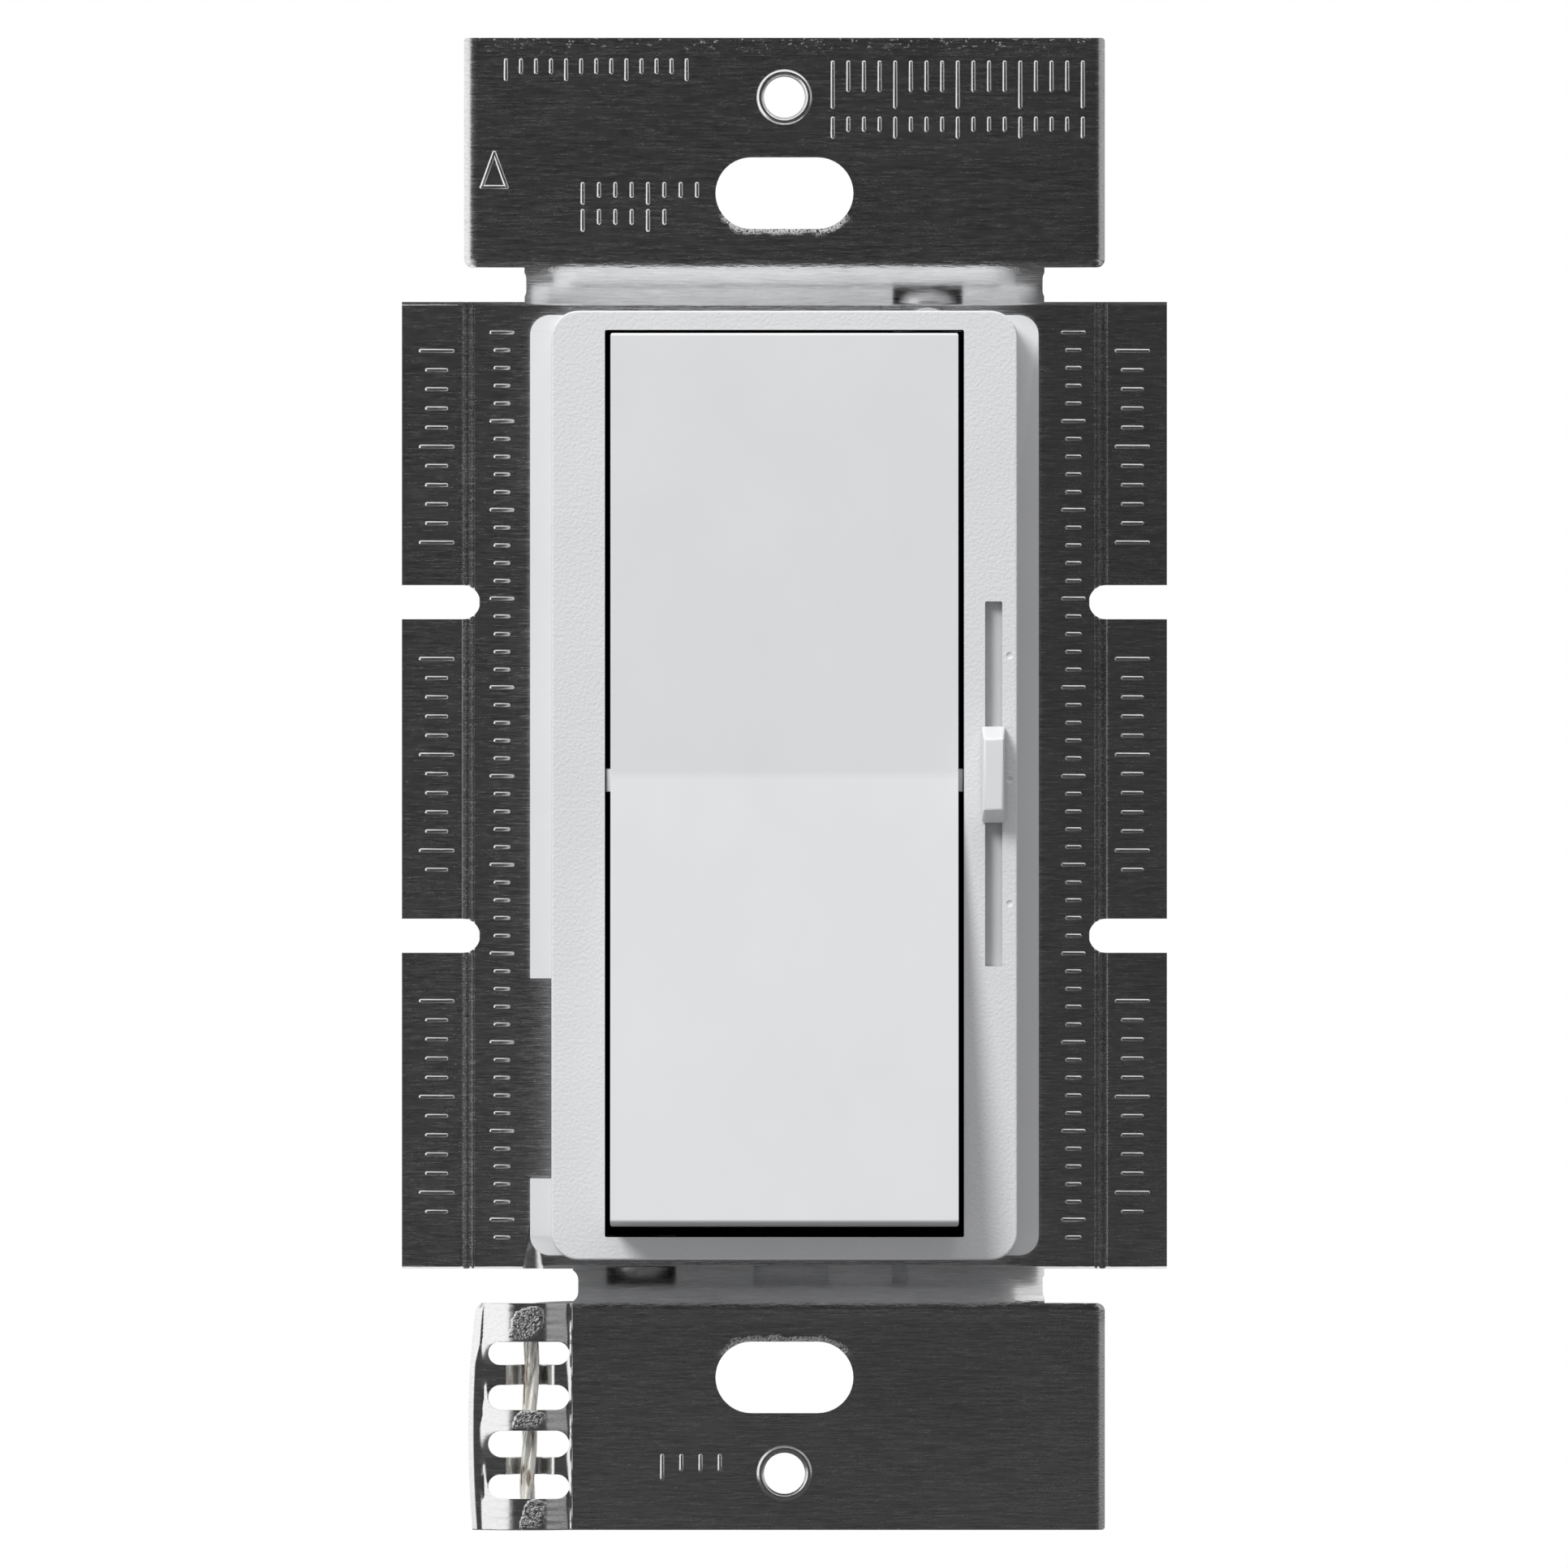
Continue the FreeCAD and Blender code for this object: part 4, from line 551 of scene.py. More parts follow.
@dataclass(frozen=True)
class StrapMetal(BrushedMetal):
    """The strap's sheet: brushed, with punch burrs inside the box slots and a speckled top edge."""

    box_z: float = 41.67
    slot: tuple[float, float] = (2.33, 2.52)
    burr_width: float = 0.5
    speckle_z: tuple[float, float] = (51.0, 52.3)
    bend_z: tuple[float, float] = (36.3, 36.9)

    def rugged(self, sheet: Sheet, place: bpy.types.NodeSocket) -> bpy.types.NodeSocket:
        """A mask, 0 to 1, of the places that the press left rough."""
        apart = sheet.add("ShaderNodeSeparateXYZ")
        scaled = sheet.add("ShaderNodeVectorMath", operation="SCALE")
        scaled.inputs["Scale"].default_value = 1000.0
        sheet.join(place, scaled.inputs[0])
        sheet.join(scaled.outputs["Vector"], apart.inputs[0])
        x, z = apart.outputs["X"], apart.outputs["Z"]
        inward = sheet.maths("SUBTRACT", self.box_z, sheet.maths("ABSOLUTE", z))
        past = sheet.maths("MAXIMUM", sheet.maths("SUBTRACT", sheet.maths("ABSOLUTE", x), self.slot[0]), 0.0)
        reach = sheet.maths("SQRT", sheet.maths("ADD", sheet.maths("POWER", past, 2.0), sheet.maths("POWER", inward, 2.0)))
        wobble = sheet.stretched(place, (900.0, 900.0, 900.0), 3.0)
        distance = sheet.maths("SUBTRACT", reach, self.slot[1])
        width = sheet.maths("MULTIPLY", wobble, 2 * self.burr_width)
        near = sheet.maths("SUBTRACT", 1.0, sheet.maths("DIVIDE", distance, width), clamp=True)
        lower = sheet.ramp(inward, 1.3, 2.1)
        speckles = sheet.stretched(place, (2600.0, 2600.0, 5200.0), 2.0)
        top = sheet.maths("MULTIPLY", sheet.ramp(z, *self.speckle_z), sheet.ramp(speckles, 0.6, 0.7, 0.0, 0.35))
        return sheet.maths("MAXIMUM", sheet.maths("MULTIPLY", near, lower), top)

    def bends(self, sheet: Sheet, place: bpy.types.NodeSocket) -> bpy.types.NodeSocket:
        """A mask, 0 to 1, of the outer bends, where the sheet's skin is stretched."""
        apart = sheet.add("ShaderNodeSeparateXYZ")
        sheet.join(place, apart.inputs[0])
        height = sheet.maths("ABSOLUTE", sheet.maths("MULTIPLY", apart.outputs["Z"], 1000.0))
        first, last = self.bend_z
        below = sheet.ramp(height, first - 0.5, first)
        return sheet.maths("MULTIPLY", below, sheet.ramp(height, last, last + 0.9, 1.0, 0.0))

    def paint(self, sheet: Sheet, shader: bpy.types.Node, place: bpy.types.NodeSocket) -> None:
        """Brushed sheet with a coarse torn grain under the rough mask."""
        super().paint(sheet, shader, place)
        mask = self.rugged(sheet, place)
        grain = sheet.ramp(sheet.stretched(place, (6500.0, 6500.0, 6500.0), 3.0), 0.42, 0.6)
        bump = shader.inputs["Normal"].links[0].from_node
        streaks = bump.inputs["Height"].links[0].from_socket
        torn = sheet.maths("MULTIPLY", sheet.maths("MULTIPLY", grain, mask), 16.0)
        peel = sheet.stretched(place, (1300.0, 3800.0, 3800.0), 3.0)
        worn = sheet.maths("MULTIPLY", sheet.maths("MULTIPLY", peel, self.bends(sheet, place)), 9.0)
        sheet.join(sheet.maths("ADD", streaks, sheet.maths("ADD", torn, worn)), bump.inputs["Height"])


@dataclass(frozen=True)
class StakedMetal(BrushedMetal):
    """Brushed metal that is crushed and knurled where the attribute "stake" says."""

    def paint(self, sheet: Sheet, shader: bpy.types.Node, place: bpy.types.NodeSocket) -> None:
        """Add a coarse hammered grain and a darker tone under the stake mask."""
        group = sheet.add("ShaderNodeGroup", node_tree=brushed_group())
        group.inputs["Length"].default_value = self.length
        sheet.join(place, group.inputs["Vector"])
        streaks = group.outputs["Streaks"]
        mask = sheet.add("ShaderNodeAttribute", attribute_name="stake").outputs["Fac"]
        knurl = sheet.add("ShaderNodeTexVoronoi", Scale=7000.0)
        sheet.join(place, knurl.inputs["Vector"])
        pits = sheet.ramp(knurl.outputs["Distance"], 0.1, 0.75)
        grain = sheet.stretched(place, (9000.0, 9000.0, 9000.0), 3.0)
        crushed = sheet.maths("ADD", pits, sheet.maths("MULTIPLY", grain, 0.9))
        dark = tuple(c * (1 - self.shade) for c in self.colour)
        light = tuple(min(1.0, c * (1 + self.shade)) for c in self.colour)
        base = sheet.mix(streaks, dark, light)
        stain = sheet.add("ShaderNodeMix", data_type="RGBA")
        sheet.join(mask, stain.inputs["Factor"])
        sheet.join(base, stain.inputs["A"])
        speckles = sheet.ramp(sheet.stretched(place, (4200.0, 4200.0, 4200.0), 3.0), 0.4, 0.58)
        sheet.join(sheet.mix(speckles, (0.16, 0.16, 0.16), (0.96, 0.96, 0.96)), stain.inputs["B"])
        sheet.join(stain.outputs["Result"], shader.inputs["Base Color"])
        plain_rough = sheet.ramp(streaks, 0, 1, self.roughness - self.spread, self.roughness + self.spread)
        rough = sheet.maths("MULTIPLY_ADD", mask, 0.14, plain_rough)
        sheet.join(rough, shader.inputs["Roughness"])
        shader.inputs["Metallic"].default_value = 1.0
        plain = sheet.maths("MULTIPLY", streaks, self.relief)
        rugged = sheet.maths("MULTIPLY", sheet.maths("MULTIPLY", crushed, mask), 0.1)
        height = sheet.maths("ADD", plain, rugged)
        self.bump(sheet, shader, height, 0.8, 1.0)


@dataclass(frozen=True)
class StrandMetal(Finish):
    """Tinned copper strand: bright, with brown stains along the lay."""

    stain: Colour = (0.20, 0.13, 0.07)

    def paint(self, sheet: Sheet, shader: bpy.types.Node, place: bpy.types.NodeSocket) -> None:
        """Stains follow a slow noise, and fine scratches the strand."""
        blotches = sheet.ramp(sheet.stretched(place, (1900.0, 1900.0, 420.0), 3.0), 0.56, 0.66, 0.0, 0.9)
        sheet.join(sheet.mix(blotches, self.colour, self.stain), shader.inputs["Base Color"])
        scratches = sheet.stretched(place, (9000.0, 9000.0, 900.0), 2.0)
        sheet.join(sheet.ramp(scratches, 0.3, 0.7, 0.16, 0.34), shader.inputs["Roughness"])
        shader.inputs["Metallic"].default_value = 0.42
        self.bump(sheet, shader, scratches, 0.6, 0.02)


class Palette:
    """Every finish of the control, by what it is on."""

    STRAP = StrapMetal("strap_aluminium", (0.87, 0.87, 0.88), roughness=0.22, spread=0.08, shade=0.3, relief=0.007)
    CRIMP = StakedMetal("crimp_aluminium", (0.94, 0.94, 0.95), roughness=0.22, spread=0.07, shade=0.18, relief=0.003)
    MARKS = BrushedMetal("mark_aluminium", (0.88, 0.88, 0.89), roughness=0.24, spread=0.05, shade=0.05)
    RIVET = BrushedMetal("rivet_aluminium", (0.94, 0.94, 0.95), roughness=0.2, spread=0.04, shade=0.04, metal=0.6)
    BEZEL = Moulded("bezel_plastic", (0.795, 0.80, 0.81), roughness=0.4, grain=4200.0, relief=0.065)
    PADDLE = Moulded("paddle_plastic", (0.80, 0.805, 0.815), roughness=0.36, grain=12000.0, relief=0.003)
    KNOB = Moulded("knob_plastic", (0.80, 0.805, 0.815), roughness=0.36, grain=9000.0, relief=0.004)
    # The shutter's grey is darker than the bezel's: partly its own colour, partly painted shade for the slot floor
    # under the knob.
    SHUTTER = Moulded("shutter_plastic", (0.60, 0.605, 0.615), roughness=0.4, grain=9000.0, relief=0.004)
    # Painted shade: a near-black finish with almost no reflection, put where the gap round the paddle falls dark.
    PAINTED_GAP_SHADE = Moulded("painted_gap_shade", (0.006, 0.006, 0.006), roughness=0.8, grain=5200.0, relief=0.01, sheen_ior=1.1)
    FRAME = Moulded("frame_plastic", (0.79, 0.795, 0.805), roughness=0.42, grain=9000.0, relief=0.005)
    HOUSING = Moulded("housing_plastic", (0.035, 0.035, 0.038), roughness=0.5, grain=4200.0, relief=0.02, tone=0.12)
    SCREW = BrushedMetal("screw_steel", (0.56, 0.56, 0.55), roughness=0.3, length=8.0, width=0.4)
    SPRING = BrushedMetal("spring_steel", (0.52, 0.52, 0.53), roughness=0.25)
    NYLON = Moulded("nylon", (0.72, 0.70, 0.62), roughness=0.45)
    SWITCH = Moulded("switch_plastic", (0.05, 0.05, 0.052), roughness=0.42, tone=0.1)
    CARRIAGE = Moulded("carriage_plastic", (0.60, 0.58, 0.50), roughness=0.45)
    PHENOLIC = Moulded("phenolic", (0.30, 0.16, 0.07), roughness=0.5, grain=2600.0, tone=0.12)
    SILVER = BrushedMetal("contact_silver", (0.84, 0.83, 0.80), roughness=0.28)
    COPPER = BrushedMetal("copper_alloy", (0.80, 0.50, 0.30), roughness=0.32)
    LAMINATE = Moulded("board_laminate", (0.10, 0.30, 0.14), roughness=0.35, grain=2200.0, tone=0.14, coat=0.3)
    TINNED = BrushedMetal("tinned_copper", (0.80, 0.79, 0.75), roughness=0.3)
    STRAND = StrandMetal("strand_copper", (0.96, 0.94, 0.88))
    CAPACITOR = Moulded("capacitor_case", (0.70, 0.58, 0.12), roughness=0.2, relief=0.002, coat=0.6)
    VARISTOR = Moulded("varistor_coat", (0.05, 0.12, 0.45), roughness=0.25, grain=1800.0, coat=0.5)
    RESISTOR = Moulded("resistor_coat", (0.55, 0.42, 0.28), roughness=0.3, coat=0.4)
    FIBRE = Moulded("fibre_sheet", (0.45, 0.45, 0.42), roughness=0.75, grain=1600.0, relief=0.03, tone=0.1)
    INSULATION = Moulded("lead_insulation", (0.02, 0.28, 0.10), roughness=0.32, grain=2600.0, relief=0.01, tone=0.06)


WELL_HALF_W = 12.6
WELL_TOP = 31.95
WELL_LOW = -31.7


def cut_behind(piece: bpy.types.Object) -> None:
    """Add edge loops round the part of a piece that lies behind the paddle's well, where painted shade goes."""
    for side in (-1, 1):
        bisect(piece, (side * WELL_HALF_W, 0, 0), (1, 0, 0))
    for z in (WELL_TOP, WELL_LOW):
        bisect(piece, (0, 0, z), (0, 0, 1))


def paint_shade_behind(piece: bpy.types.Object) -> None:
    """Paint shade on a piece: a near-black finish on its faces behind the paddle's well, where only the gap round the
    paddle shows them.
    """
    piece.data.materials.append(Palette.PAINTED_GAP_SHADE.material())
    for face in piece.data.polygons:
        x, _, z = face.center / MM
        if abs(x) < WELL_HALF_W and WELL_LOW < z < WELL_TOP and face.normal.y < 0.3:
            face.material_index = 1


# Strap


@dataclass
class Crimp:
    """The laced crimp at the lower left of the strap: four slots and five bars."""

    middle_x: float = -18.0
    half_w: float = 2.85
    top_z: float = -36.45
    low_z: float = -52.4
    right_x: float = -14.9
    left_x: float = -22.25
    front_y: float = -1.3
    sheet: float = 1.3
    arch: float = 1.08
    arch_x: tuple[float, float, float, float] = (-21.4, -18.8, -17.45, -15.1)
    trough: float = 1.35
    wire_x: float = -17.92
    slots: tuple[tuple[float, float], ...] = ((-39.15, -40.8), (-42.2, -43.95), (-45.4, -47.3), (-48.5, -50.2))
    stakes: tuple[tuple[float, float, float, float], ...] = (
        (-18.1, -37.85, 1.12, 1.12),
        (-18.0, -44.65, 1.12, 0.62),
        (-17.65, -51.3, 0.85, 1.05),
    )
    slant: float = 0.28
    cell: float = 0.1

    def bar_edges(self) -> list[tuple[float, float]]:
        """Top and low Z of each bar."""
        tops = [self.top_z] + [low for _, low in self.slots]
        lows = [high for high, _ in self.slots] + [self.low_z]
        return list(zip(tops, lows))

    def arch_share(self, z: float) -> float:
        """How much a height belongs to the arched bars: 1 on them, 0 on the dipped ones."""
        for i, (top, low) in enumerate(self.slots):
            if z > top:
                return 1.0 if i % 2 == 0 else 0.0
            if z > low:
                part = smoothstep(low, top, z)
                return part if i % 2 == 0 else 1 - part
        return 1.0

    def rise(self, x: float, z: float) -> float:
        """How far the sheet stands forward of the ear at a place, in millimetres.

        Args:
            x: Place across the strap.
            z: Place along the strap.

        Returns:
            The rise towards the front, negative in a trough.
        """
        share = self.arch_share(z)
        wander = 0.05 * noise.noise(Vector((x * 0.3, 0, z * 3.2)))
        left = ramped(self.arch_x[0], self.arch_x[1] + wander, x)
        right = ramped(self.arch_x[3], self.arch_x[2] + 0.6 * wander, x)
        arch = self.arch * min(1.0, left, right)
        walls = smoothstep(0.34, 1.0, abs(x - self.wire_x) / 1.75)
        form = share * arch - (1 - share) * self.trough * (1 - walls)
        ridge = 0.14 * math.exp(-(((x + 15.0 - 0.05 * math.sin(z * 1.9)) / 0.16) ** 2))
        wide = 0.4 + 0.4 * smoothstep(-41.0, -38.8, z)
        roll = -0.6 * wide * smoothstep(0.0, 1.0, (self.left_x + wide - x) / wide) ** 1.4
        crease_x = self.left_x + 1.0 + 0.10 * math.sin(z * 0.85)
        rungs = 0.55 + 0.45 * math.sin(z * 21) if z > -39.8 else 1.0
        lens = smoothstep(-0.3, 0.4, math.sin(z * 1.13 + 0.35))
        crease = -0.09 * rungs * lens * math.exp(-(((x - crease_x) / 0.11) ** 2))
        return form + ridge + roll + crease

    def edge_bow(self, z: float) -> float:
        """How far in from the furthest left the edge lies at a height, in millimetres."""
        along = (z - self.low_z) / (self.top_z - self.low_z)
        top = 0.55 * max(0.0, (along - 0.45) / 0.55) ** 2 + 0.3 * max(0.0, (along - 0.96) / 0.04) ** 2
        bottom = 0.3 * max(0.0, (0.45 - along) / 0.45) ** 2
        return top + bottom

    def build(self) -> bpy.types.Object:
        """The crimp panel as one closed mesh, formed over its grid."""
        width = self.right_x - self.left_x
        height = self.top_z - self.low_z
        deselect()
        bpy.ops.mesh.primitive_grid_add(
            x_subdivisions=int(width / self.cell),
            y_subdivisions=int(height / self.cell),
            size=1,
            location=((self.left_x + self.right_x) / 2 * MM, self.front_y * MM, (self.top_z + self.low_z) / 2 * MM),
            rotation=(math.pi / 2, 0, 0),
        )
        bpy.context.active_object.scale = (width * MM, height * MM, 1)
        panel = settle("crimp_panel")
        apply_modifier(panel, "SOLIDIFY", thickness=self.sheet * MM, offset=-1)
        tools = []
        for top, low in self.slots:
            half = (top - low) / 2
            tools.append(
                slot_tool("slot", (self.middle_x, low + half), (self.half_w, half), (self.front_y - 1, 1), half)
            )
        cut_with(panel, tools)
        self.form(panel)
        soften(panel, 0.10, 2, 50)
        self.stain(panel)
        return panel

    def form(self, panel: bpy.types.Object) -> None:
        """Push the grid's points forward and back, and bow the left edge."""
        for vertex in panel.data.vertices:
            x, y, z = vertex.co / MM
            near_left = smoothstep(0.0, 1.0, (self.left_x + 1.6 - x) / 1.6)
            vertex.co = Vector((x + self.edge_bow(z) * near_left, y - self.rise(x, z), z)) * MM

    def stain(self, panel: bpy.types.Object) -> None:
        """Write the "stake" attribute: where the punch crushed the bars' tops."""
        values = panel.data.attributes.new("stake", "FLOAT", "POINT")
        for i, vertex in enumerate(panel.data.vertices):
            x, y, z = vertex.co / MM
            most = 0.0
            for cx, cz, rx, rz in self.stakes:
                wobble = 0.16 * noise.noise(Vector((x * 2.3, cz, z * 2.3)))
                across = (x - cx - self.slant * (z - cz)) / rx
                distance = (abs(across) ** 3 + abs((z - cz) / rz) ** 3) ** (1 / 3) + wobble
                most = max(most, 1 - smoothstep(0.86, 1.02, distance))
            values.data[i].value = most if y < self.front_y + 0.4 else 0.0


def smoothstep(low: float, high: float, value: float) -> float:
    """A smooth step from 0 at low to 1 at high."""
    part = min(1.0, max(0.0, (value - low) / (high - low)))
    return part * part * (3 - 2 * part)


def ramped(low: float, high: float, value: float) -> float:
    """A step from 0 at low to 1 at high: straight at first, and easing out flat over its last part."""
    part = min(1.0, max(0.0, (value - low) / (high - low)))
    return 1.25 * part if part < 0.6 else 1 - 1.5625 * (1 - part) ** 2


@dataclass
class Strap:
    """The stamped strap: bent sheet, pierced, scored and stamped."""

    sheet: float = 1.3
    step: float = 2.2
    ear_front: float = -1.3
    ear_half_w: float = 22.55
    top: float = 52.6
    bottom: float = -52.4
    ear_inner: float = 36.45
    plate_half_w: float = 26.95
    plate_half_h: float = 34.05
    neck_half_w: float = 18.3
    neck_left_low: float = 14.9
    bend_z: float = 36.3
    bend_run: float = 2.4
    outer_r: float = 1.6
    inner_r: float = 0.3
    opening: tuple[float, float] = (15.9, 26.6)
    box_z: float = 41.67
    box_slot: tuple[float, float] = (4.85, 2.52)
    plate_hole_z: float = 48.42
    plate_hole_r: float = 1.45
    fin_gap: float = 1.2
    fin_gap_z: tuple[float, float] = (12.9, -10.6)
    fin_gap_end: float = 21.45
    grooves: tuple[tuple[float, float, float], ...] = ((21.95, 0.13, 0.15), (22.4, 0.27, 0.3))
    lip_x: float = 22.88
    lip: float = 0.05
    collar: tuple[float, float] = (1.72, 0.25)
    ear_corner: tuple[float, float] = (0.55, 0.22)
    wedge: tuple[float, float, float, float] = (-17.7, 0.78, 5.2, 0.42)
    stroke: tuple[float, float] = (0.16, 0.11)
    ear_rows: tuple[tuple[float, float, float, float, float], ...] = (
        (-19.6, -6.8, 51.0, 1.06, 1.3),
        (3.4, 21.1, 50.85, 1.1, 3.1),
        (3.4, 21.1, 46.9, 1.1, 1.25),
        (-14.2, -6.0, 42.3, 1.15, 1.3),
        (-14.2, -8.2, 40.4, 1.15, 1.3),
        (-8.6, -4.5, -47.2, 1.35, 1.6),
    )
    arrow: tuple[tuple[float, float], ...] = ((-21.3, 42.1), (-19.55, 42.1), (-20.42, 44.5))
    rivets: tuple[tuple[float, float], ...] = ((10.1, 31.5), (-10.1, -31.0))
    crimp: Crimp = field(default_factory=Crimp)

    def build(self) -> None:
        """Make the strap, its marks and its rivet heads."""
        strap = self.bent_sheet()
        self.trim(strap)
        self.pierce(strap)
        self.round_corners(strap)
        clean(strap)
        soften(strap, 0.08, 3, 50)
        self.score(strap)
        self.roll_sides(strap)
        self.raise_lips(strap)
        cut_behind(strap)
        smooth(strap, 12)
        apply_modifier(strap, "WEIGHTED_NORMAL", keep_sharp=True, weight=100)
        hand_over(strap, Palette.STRAP, Body.SWITCH, ["mounting_strap"])
        # Painted shade on the strap behind the paddle's well.
        paint_shade_behind(strap)
        panel = self.crimp.build()
        hand_over(panel, Palette.CRIMP, Body.SWITCH, ())
        marks = self.stamped_marks()
        hand_over(marks, Palette.MARKS, Body.SWITCH, ())
        hand_over(self.collars(), Palette.MARKS, Body.SWITCH, ())
        heads = self.rivet_heads()
        hand_over(heads, Palette.RIVET, Body.SWITCH, ["strap_rivets"])
        # Painted shade on the rivets behind the paddle's well.
        paint_shade_behind(heads)

    def bent_sheet(self) -> bpy.types.Object:
        """The whole strip, spun round its four bends and given its thickness."""
        lean = math.atan2(self.step, self.bend_run)
        start = self.bend_z + self.outer_r * math.tan(lean / 2)
        slope = (self.step - (self.outer_r + self.inner_r) * (1 - math.cos(lean))) / math.sin(lean)
        deselect()
        bpy.ops.mesh.primitive_plane_add(
            size=1, location=(0, self.ear_front * MM, (self.top + start) / 2 * MM), rotation=(math.pi / 2, 0, 0)
        )
        bpy.context.active_object.scale = (2 * self.plate_half_w * MM, (self.top - start) * MM, 1)
        strip = settle("mounting_strap_dressed")
        at_start = lambda a, b: max(abs(a.z - start), abs(b.z - start)) < 0.01
        select_edges(strip, at_start)
        y, z = self.ear_front, start
        y, z = self.spin_on(y, z, 0.0, lean, self.outer_r)
        y, z = self.run_on(y, z, lean, slope)
        y, z = self.spin_on(y, z, lean, -lean, self.inner_r)
        plate_low = -z
        y, z = self.run_on(y, z, 0.0, z - plate_low)
        y, z = self.spin_on(y, z, 0.0, -lean, self.inner_r)
        y, z = self.run_on(y, z, -lean, slope)
        y, z = self.spin_on(y, z, -lean, lean, self.outer_r)
        self.run_on(y, z, 0.0, z - self.bottom)
        leave_edit()
        apply_modifier(strip, "SOLIDIFY", thickness=self.sheet * MM, offset=-1, use_even_offset=True)
        return strip

    def spin_on(self, y: float, z: float, heading: float, turn: float, radius: float) -> tuple[float, float]:
        """Spin the selected edge round a bend.

        Args:
            y: Where the edge is along Y.
            z: Where the edge is along Z.
            heading: How far the strip leans back there, in radians.
            turn: How far it turns, positive towards the back.
            radius: Radius of the front face's bend.

        Returns:
            The edge's new Y and Z.
        """
        side = 1 if turn > 0 else -1
        centre_y = y + side * radius * math.cos(heading)
        centre_z = z + side * radius * math.sin(heading)
        bpy.ops.mesh.spin(steps=6, angle=-turn, center=(0, centre_y * MM, centre_z * MM), axis=(1, 0, 0))
        after = heading + turn
        return centre_y - side * radius * math.cos(after), centre_z - side * radius * math.sin(after)

    def run_on(self, y: float, z: float, heading: float, length: float) -> tuple[float, float]:
        """Extrude the selected edge straight on down the strip."""
        step_y, step_z = math.sin(heading) * length, -math.cos(heading) * length
        bpy.ops.mesh.extrude_region_move(TRANSFORM_OT_translate={"value": (0, step_y * MM, step_z * MM)})
        return y + step_y, z + step_z

    def trim(self, strap: bpy.types.Object) -> None:
        """Cut the strip to its outline: ears, necks and notches."""
        tools = []
        far = self.plate_half_w + 3
        past = 3.0
        for up in (1, -1):
            for side in (-1, 1):
                neck = self.neck_left_low if (up, side) == (-1, -1) else self.neck_half_w
                z0, z1 = sorted((up * self.plate_half_h, up * self.ear_inner))
                x0, x1 = sorted((side * neck, side * far))
                tools.append(add_block("notch", (x0, -past, z0), (x1, past, z1)))
                x0 = neck - (0.38 if neck == self.neck_left_low else 0.12)
                middle = (side * (x0 + 2), (z0 + z1) / 2)
                tools.append(slot_tool("notch_end", middle, (2, (z1 - z0) / 2), (-past, past), 0.8))
                edge = self.neck_left_low if (up, side) == (-1, -1) else self.ear_half_w
                z0, z1 = sorted((up * self.ear_inner, up * (self.top + past)))
                x0, x1 = sorted((side * edge, side * far))
                tools.append(add_block("side", (x0, -past, z0 - 0.001), (x1, past, z1 + 0.001)))
        cut_with(strap, tools)

    def pierce(self, strap: bpy.types.Object) -> None:
        """Cut the slots, holes and fin gaps."""
        tools = []
        deep = (-3.0, 4.0)
        width, height = self.opening
        tools.append(add_block("opening", (-width, deep[0], -height), (width, deep[1], height)))
        for up in (1, -1):
            tools.append(slot_tool("box_slot", (0, up * self.box_z), self.box_slot, deep, self.box_slot[1]))
            hole_z = up * self.plate_hole_z
            tools.append(add_rod("hole", self.plate_hole_r, (0, deep[0], hole_z), (0, deep[1], hole_z)))
        for x, z in self.rivets:
            tools.append(add_rod("rivet_hole", 1.45, (x, deep[0], z), (x, deep[1], z), 32))
        reach = 4.0
        for side in (-1, 1):
            for z in self.fin_gap_z:
                middle = side * (self.fin_gap_end + reach)
                tools.append(slot_tool("fin_gap", (middle, z), (reach, self.fin_gap), deep, self.fin_gap))
        cut_with(strap, tools)

    def score(self, strap: bpy.types.Object) -> None:
        """Cut the score lines down both sides of the plate, and keep their edges sharp."""
        tools = []
        for side in (-1, 1):
            tools += [self.groove_tool(side * x, half_w, depth) for x, half_w, depth in self.grooves]
        cut_with(strap, tools)
        cut_with(strap, [self.wedge_tool()])

    def wedge_tool(self) -> bpy.types.Object:
        """A flattened cone that presses the short wedge beside the crimp's notch."""
        x, radius, length, sink = self.wedge
        front = self.ear_front + self.step
        low = -self.plate_half_h - 0.3
        deselect()
        bpy.ops.mesh.primitive_cone_add(
            vertices=32, radius1=radius * MM, radius2=0, depth=length * MM,
            location=(x * MM, front * MM, (low + length / 2) * MM),
        )
        tool = settle("wedge")
        for vertex in tool.data.vertices:
            vertex.co.y = (front + (vertex.co.y / MM - front) * sink / radius) * MM
        return tool

    def groove_tool(self, x: float, half_w: float, depth: float) -> bpy.types.Object:
        """A four-sided bar that cuts one V groove down the plate.

        Args:
            x: Place across the strap.
            half_w: Half the groove's width.
            depth: The groove's depth.

        Returns:
            The cutting bar.
        """
        front = self.ear_front + self.step
        high = self.plate_half_h + 1
        tool = add_rod("groove", half_w, (x, front, -high), (x, front, high), 4)
        for vertex in tool.data.vertices:
            vertex.co.y = (front + (vertex.co.y / MM - front) * depth / half_w) * MM
        return tool

    def round_corners(self, strap: bpy.types.Object) -> None:
        """Round the corners of both ears, apart from the crimp's side."""
        wide, inner = self.ear_half_w, self.ear_inner
        inner_r, outer_r = self.ear_corner
        tools = [
            self.corner_tool(-wide, inner, -1, -1, inner_r),
            self.corner_tool(wide, inner, 1, -1, inner_r),
            self.corner_tool(wide, -inner, 1, 1, inner_r),
            self.corner_tool(-wide, self.top, -1, 1, outer_r),
            self.corner_tool(wide, self.top, 1, 1, outer_r),
            self.corner_tool(wide, self.bottom, 1, -1, outer_r),
        ]
        cut_with(strap, tools)

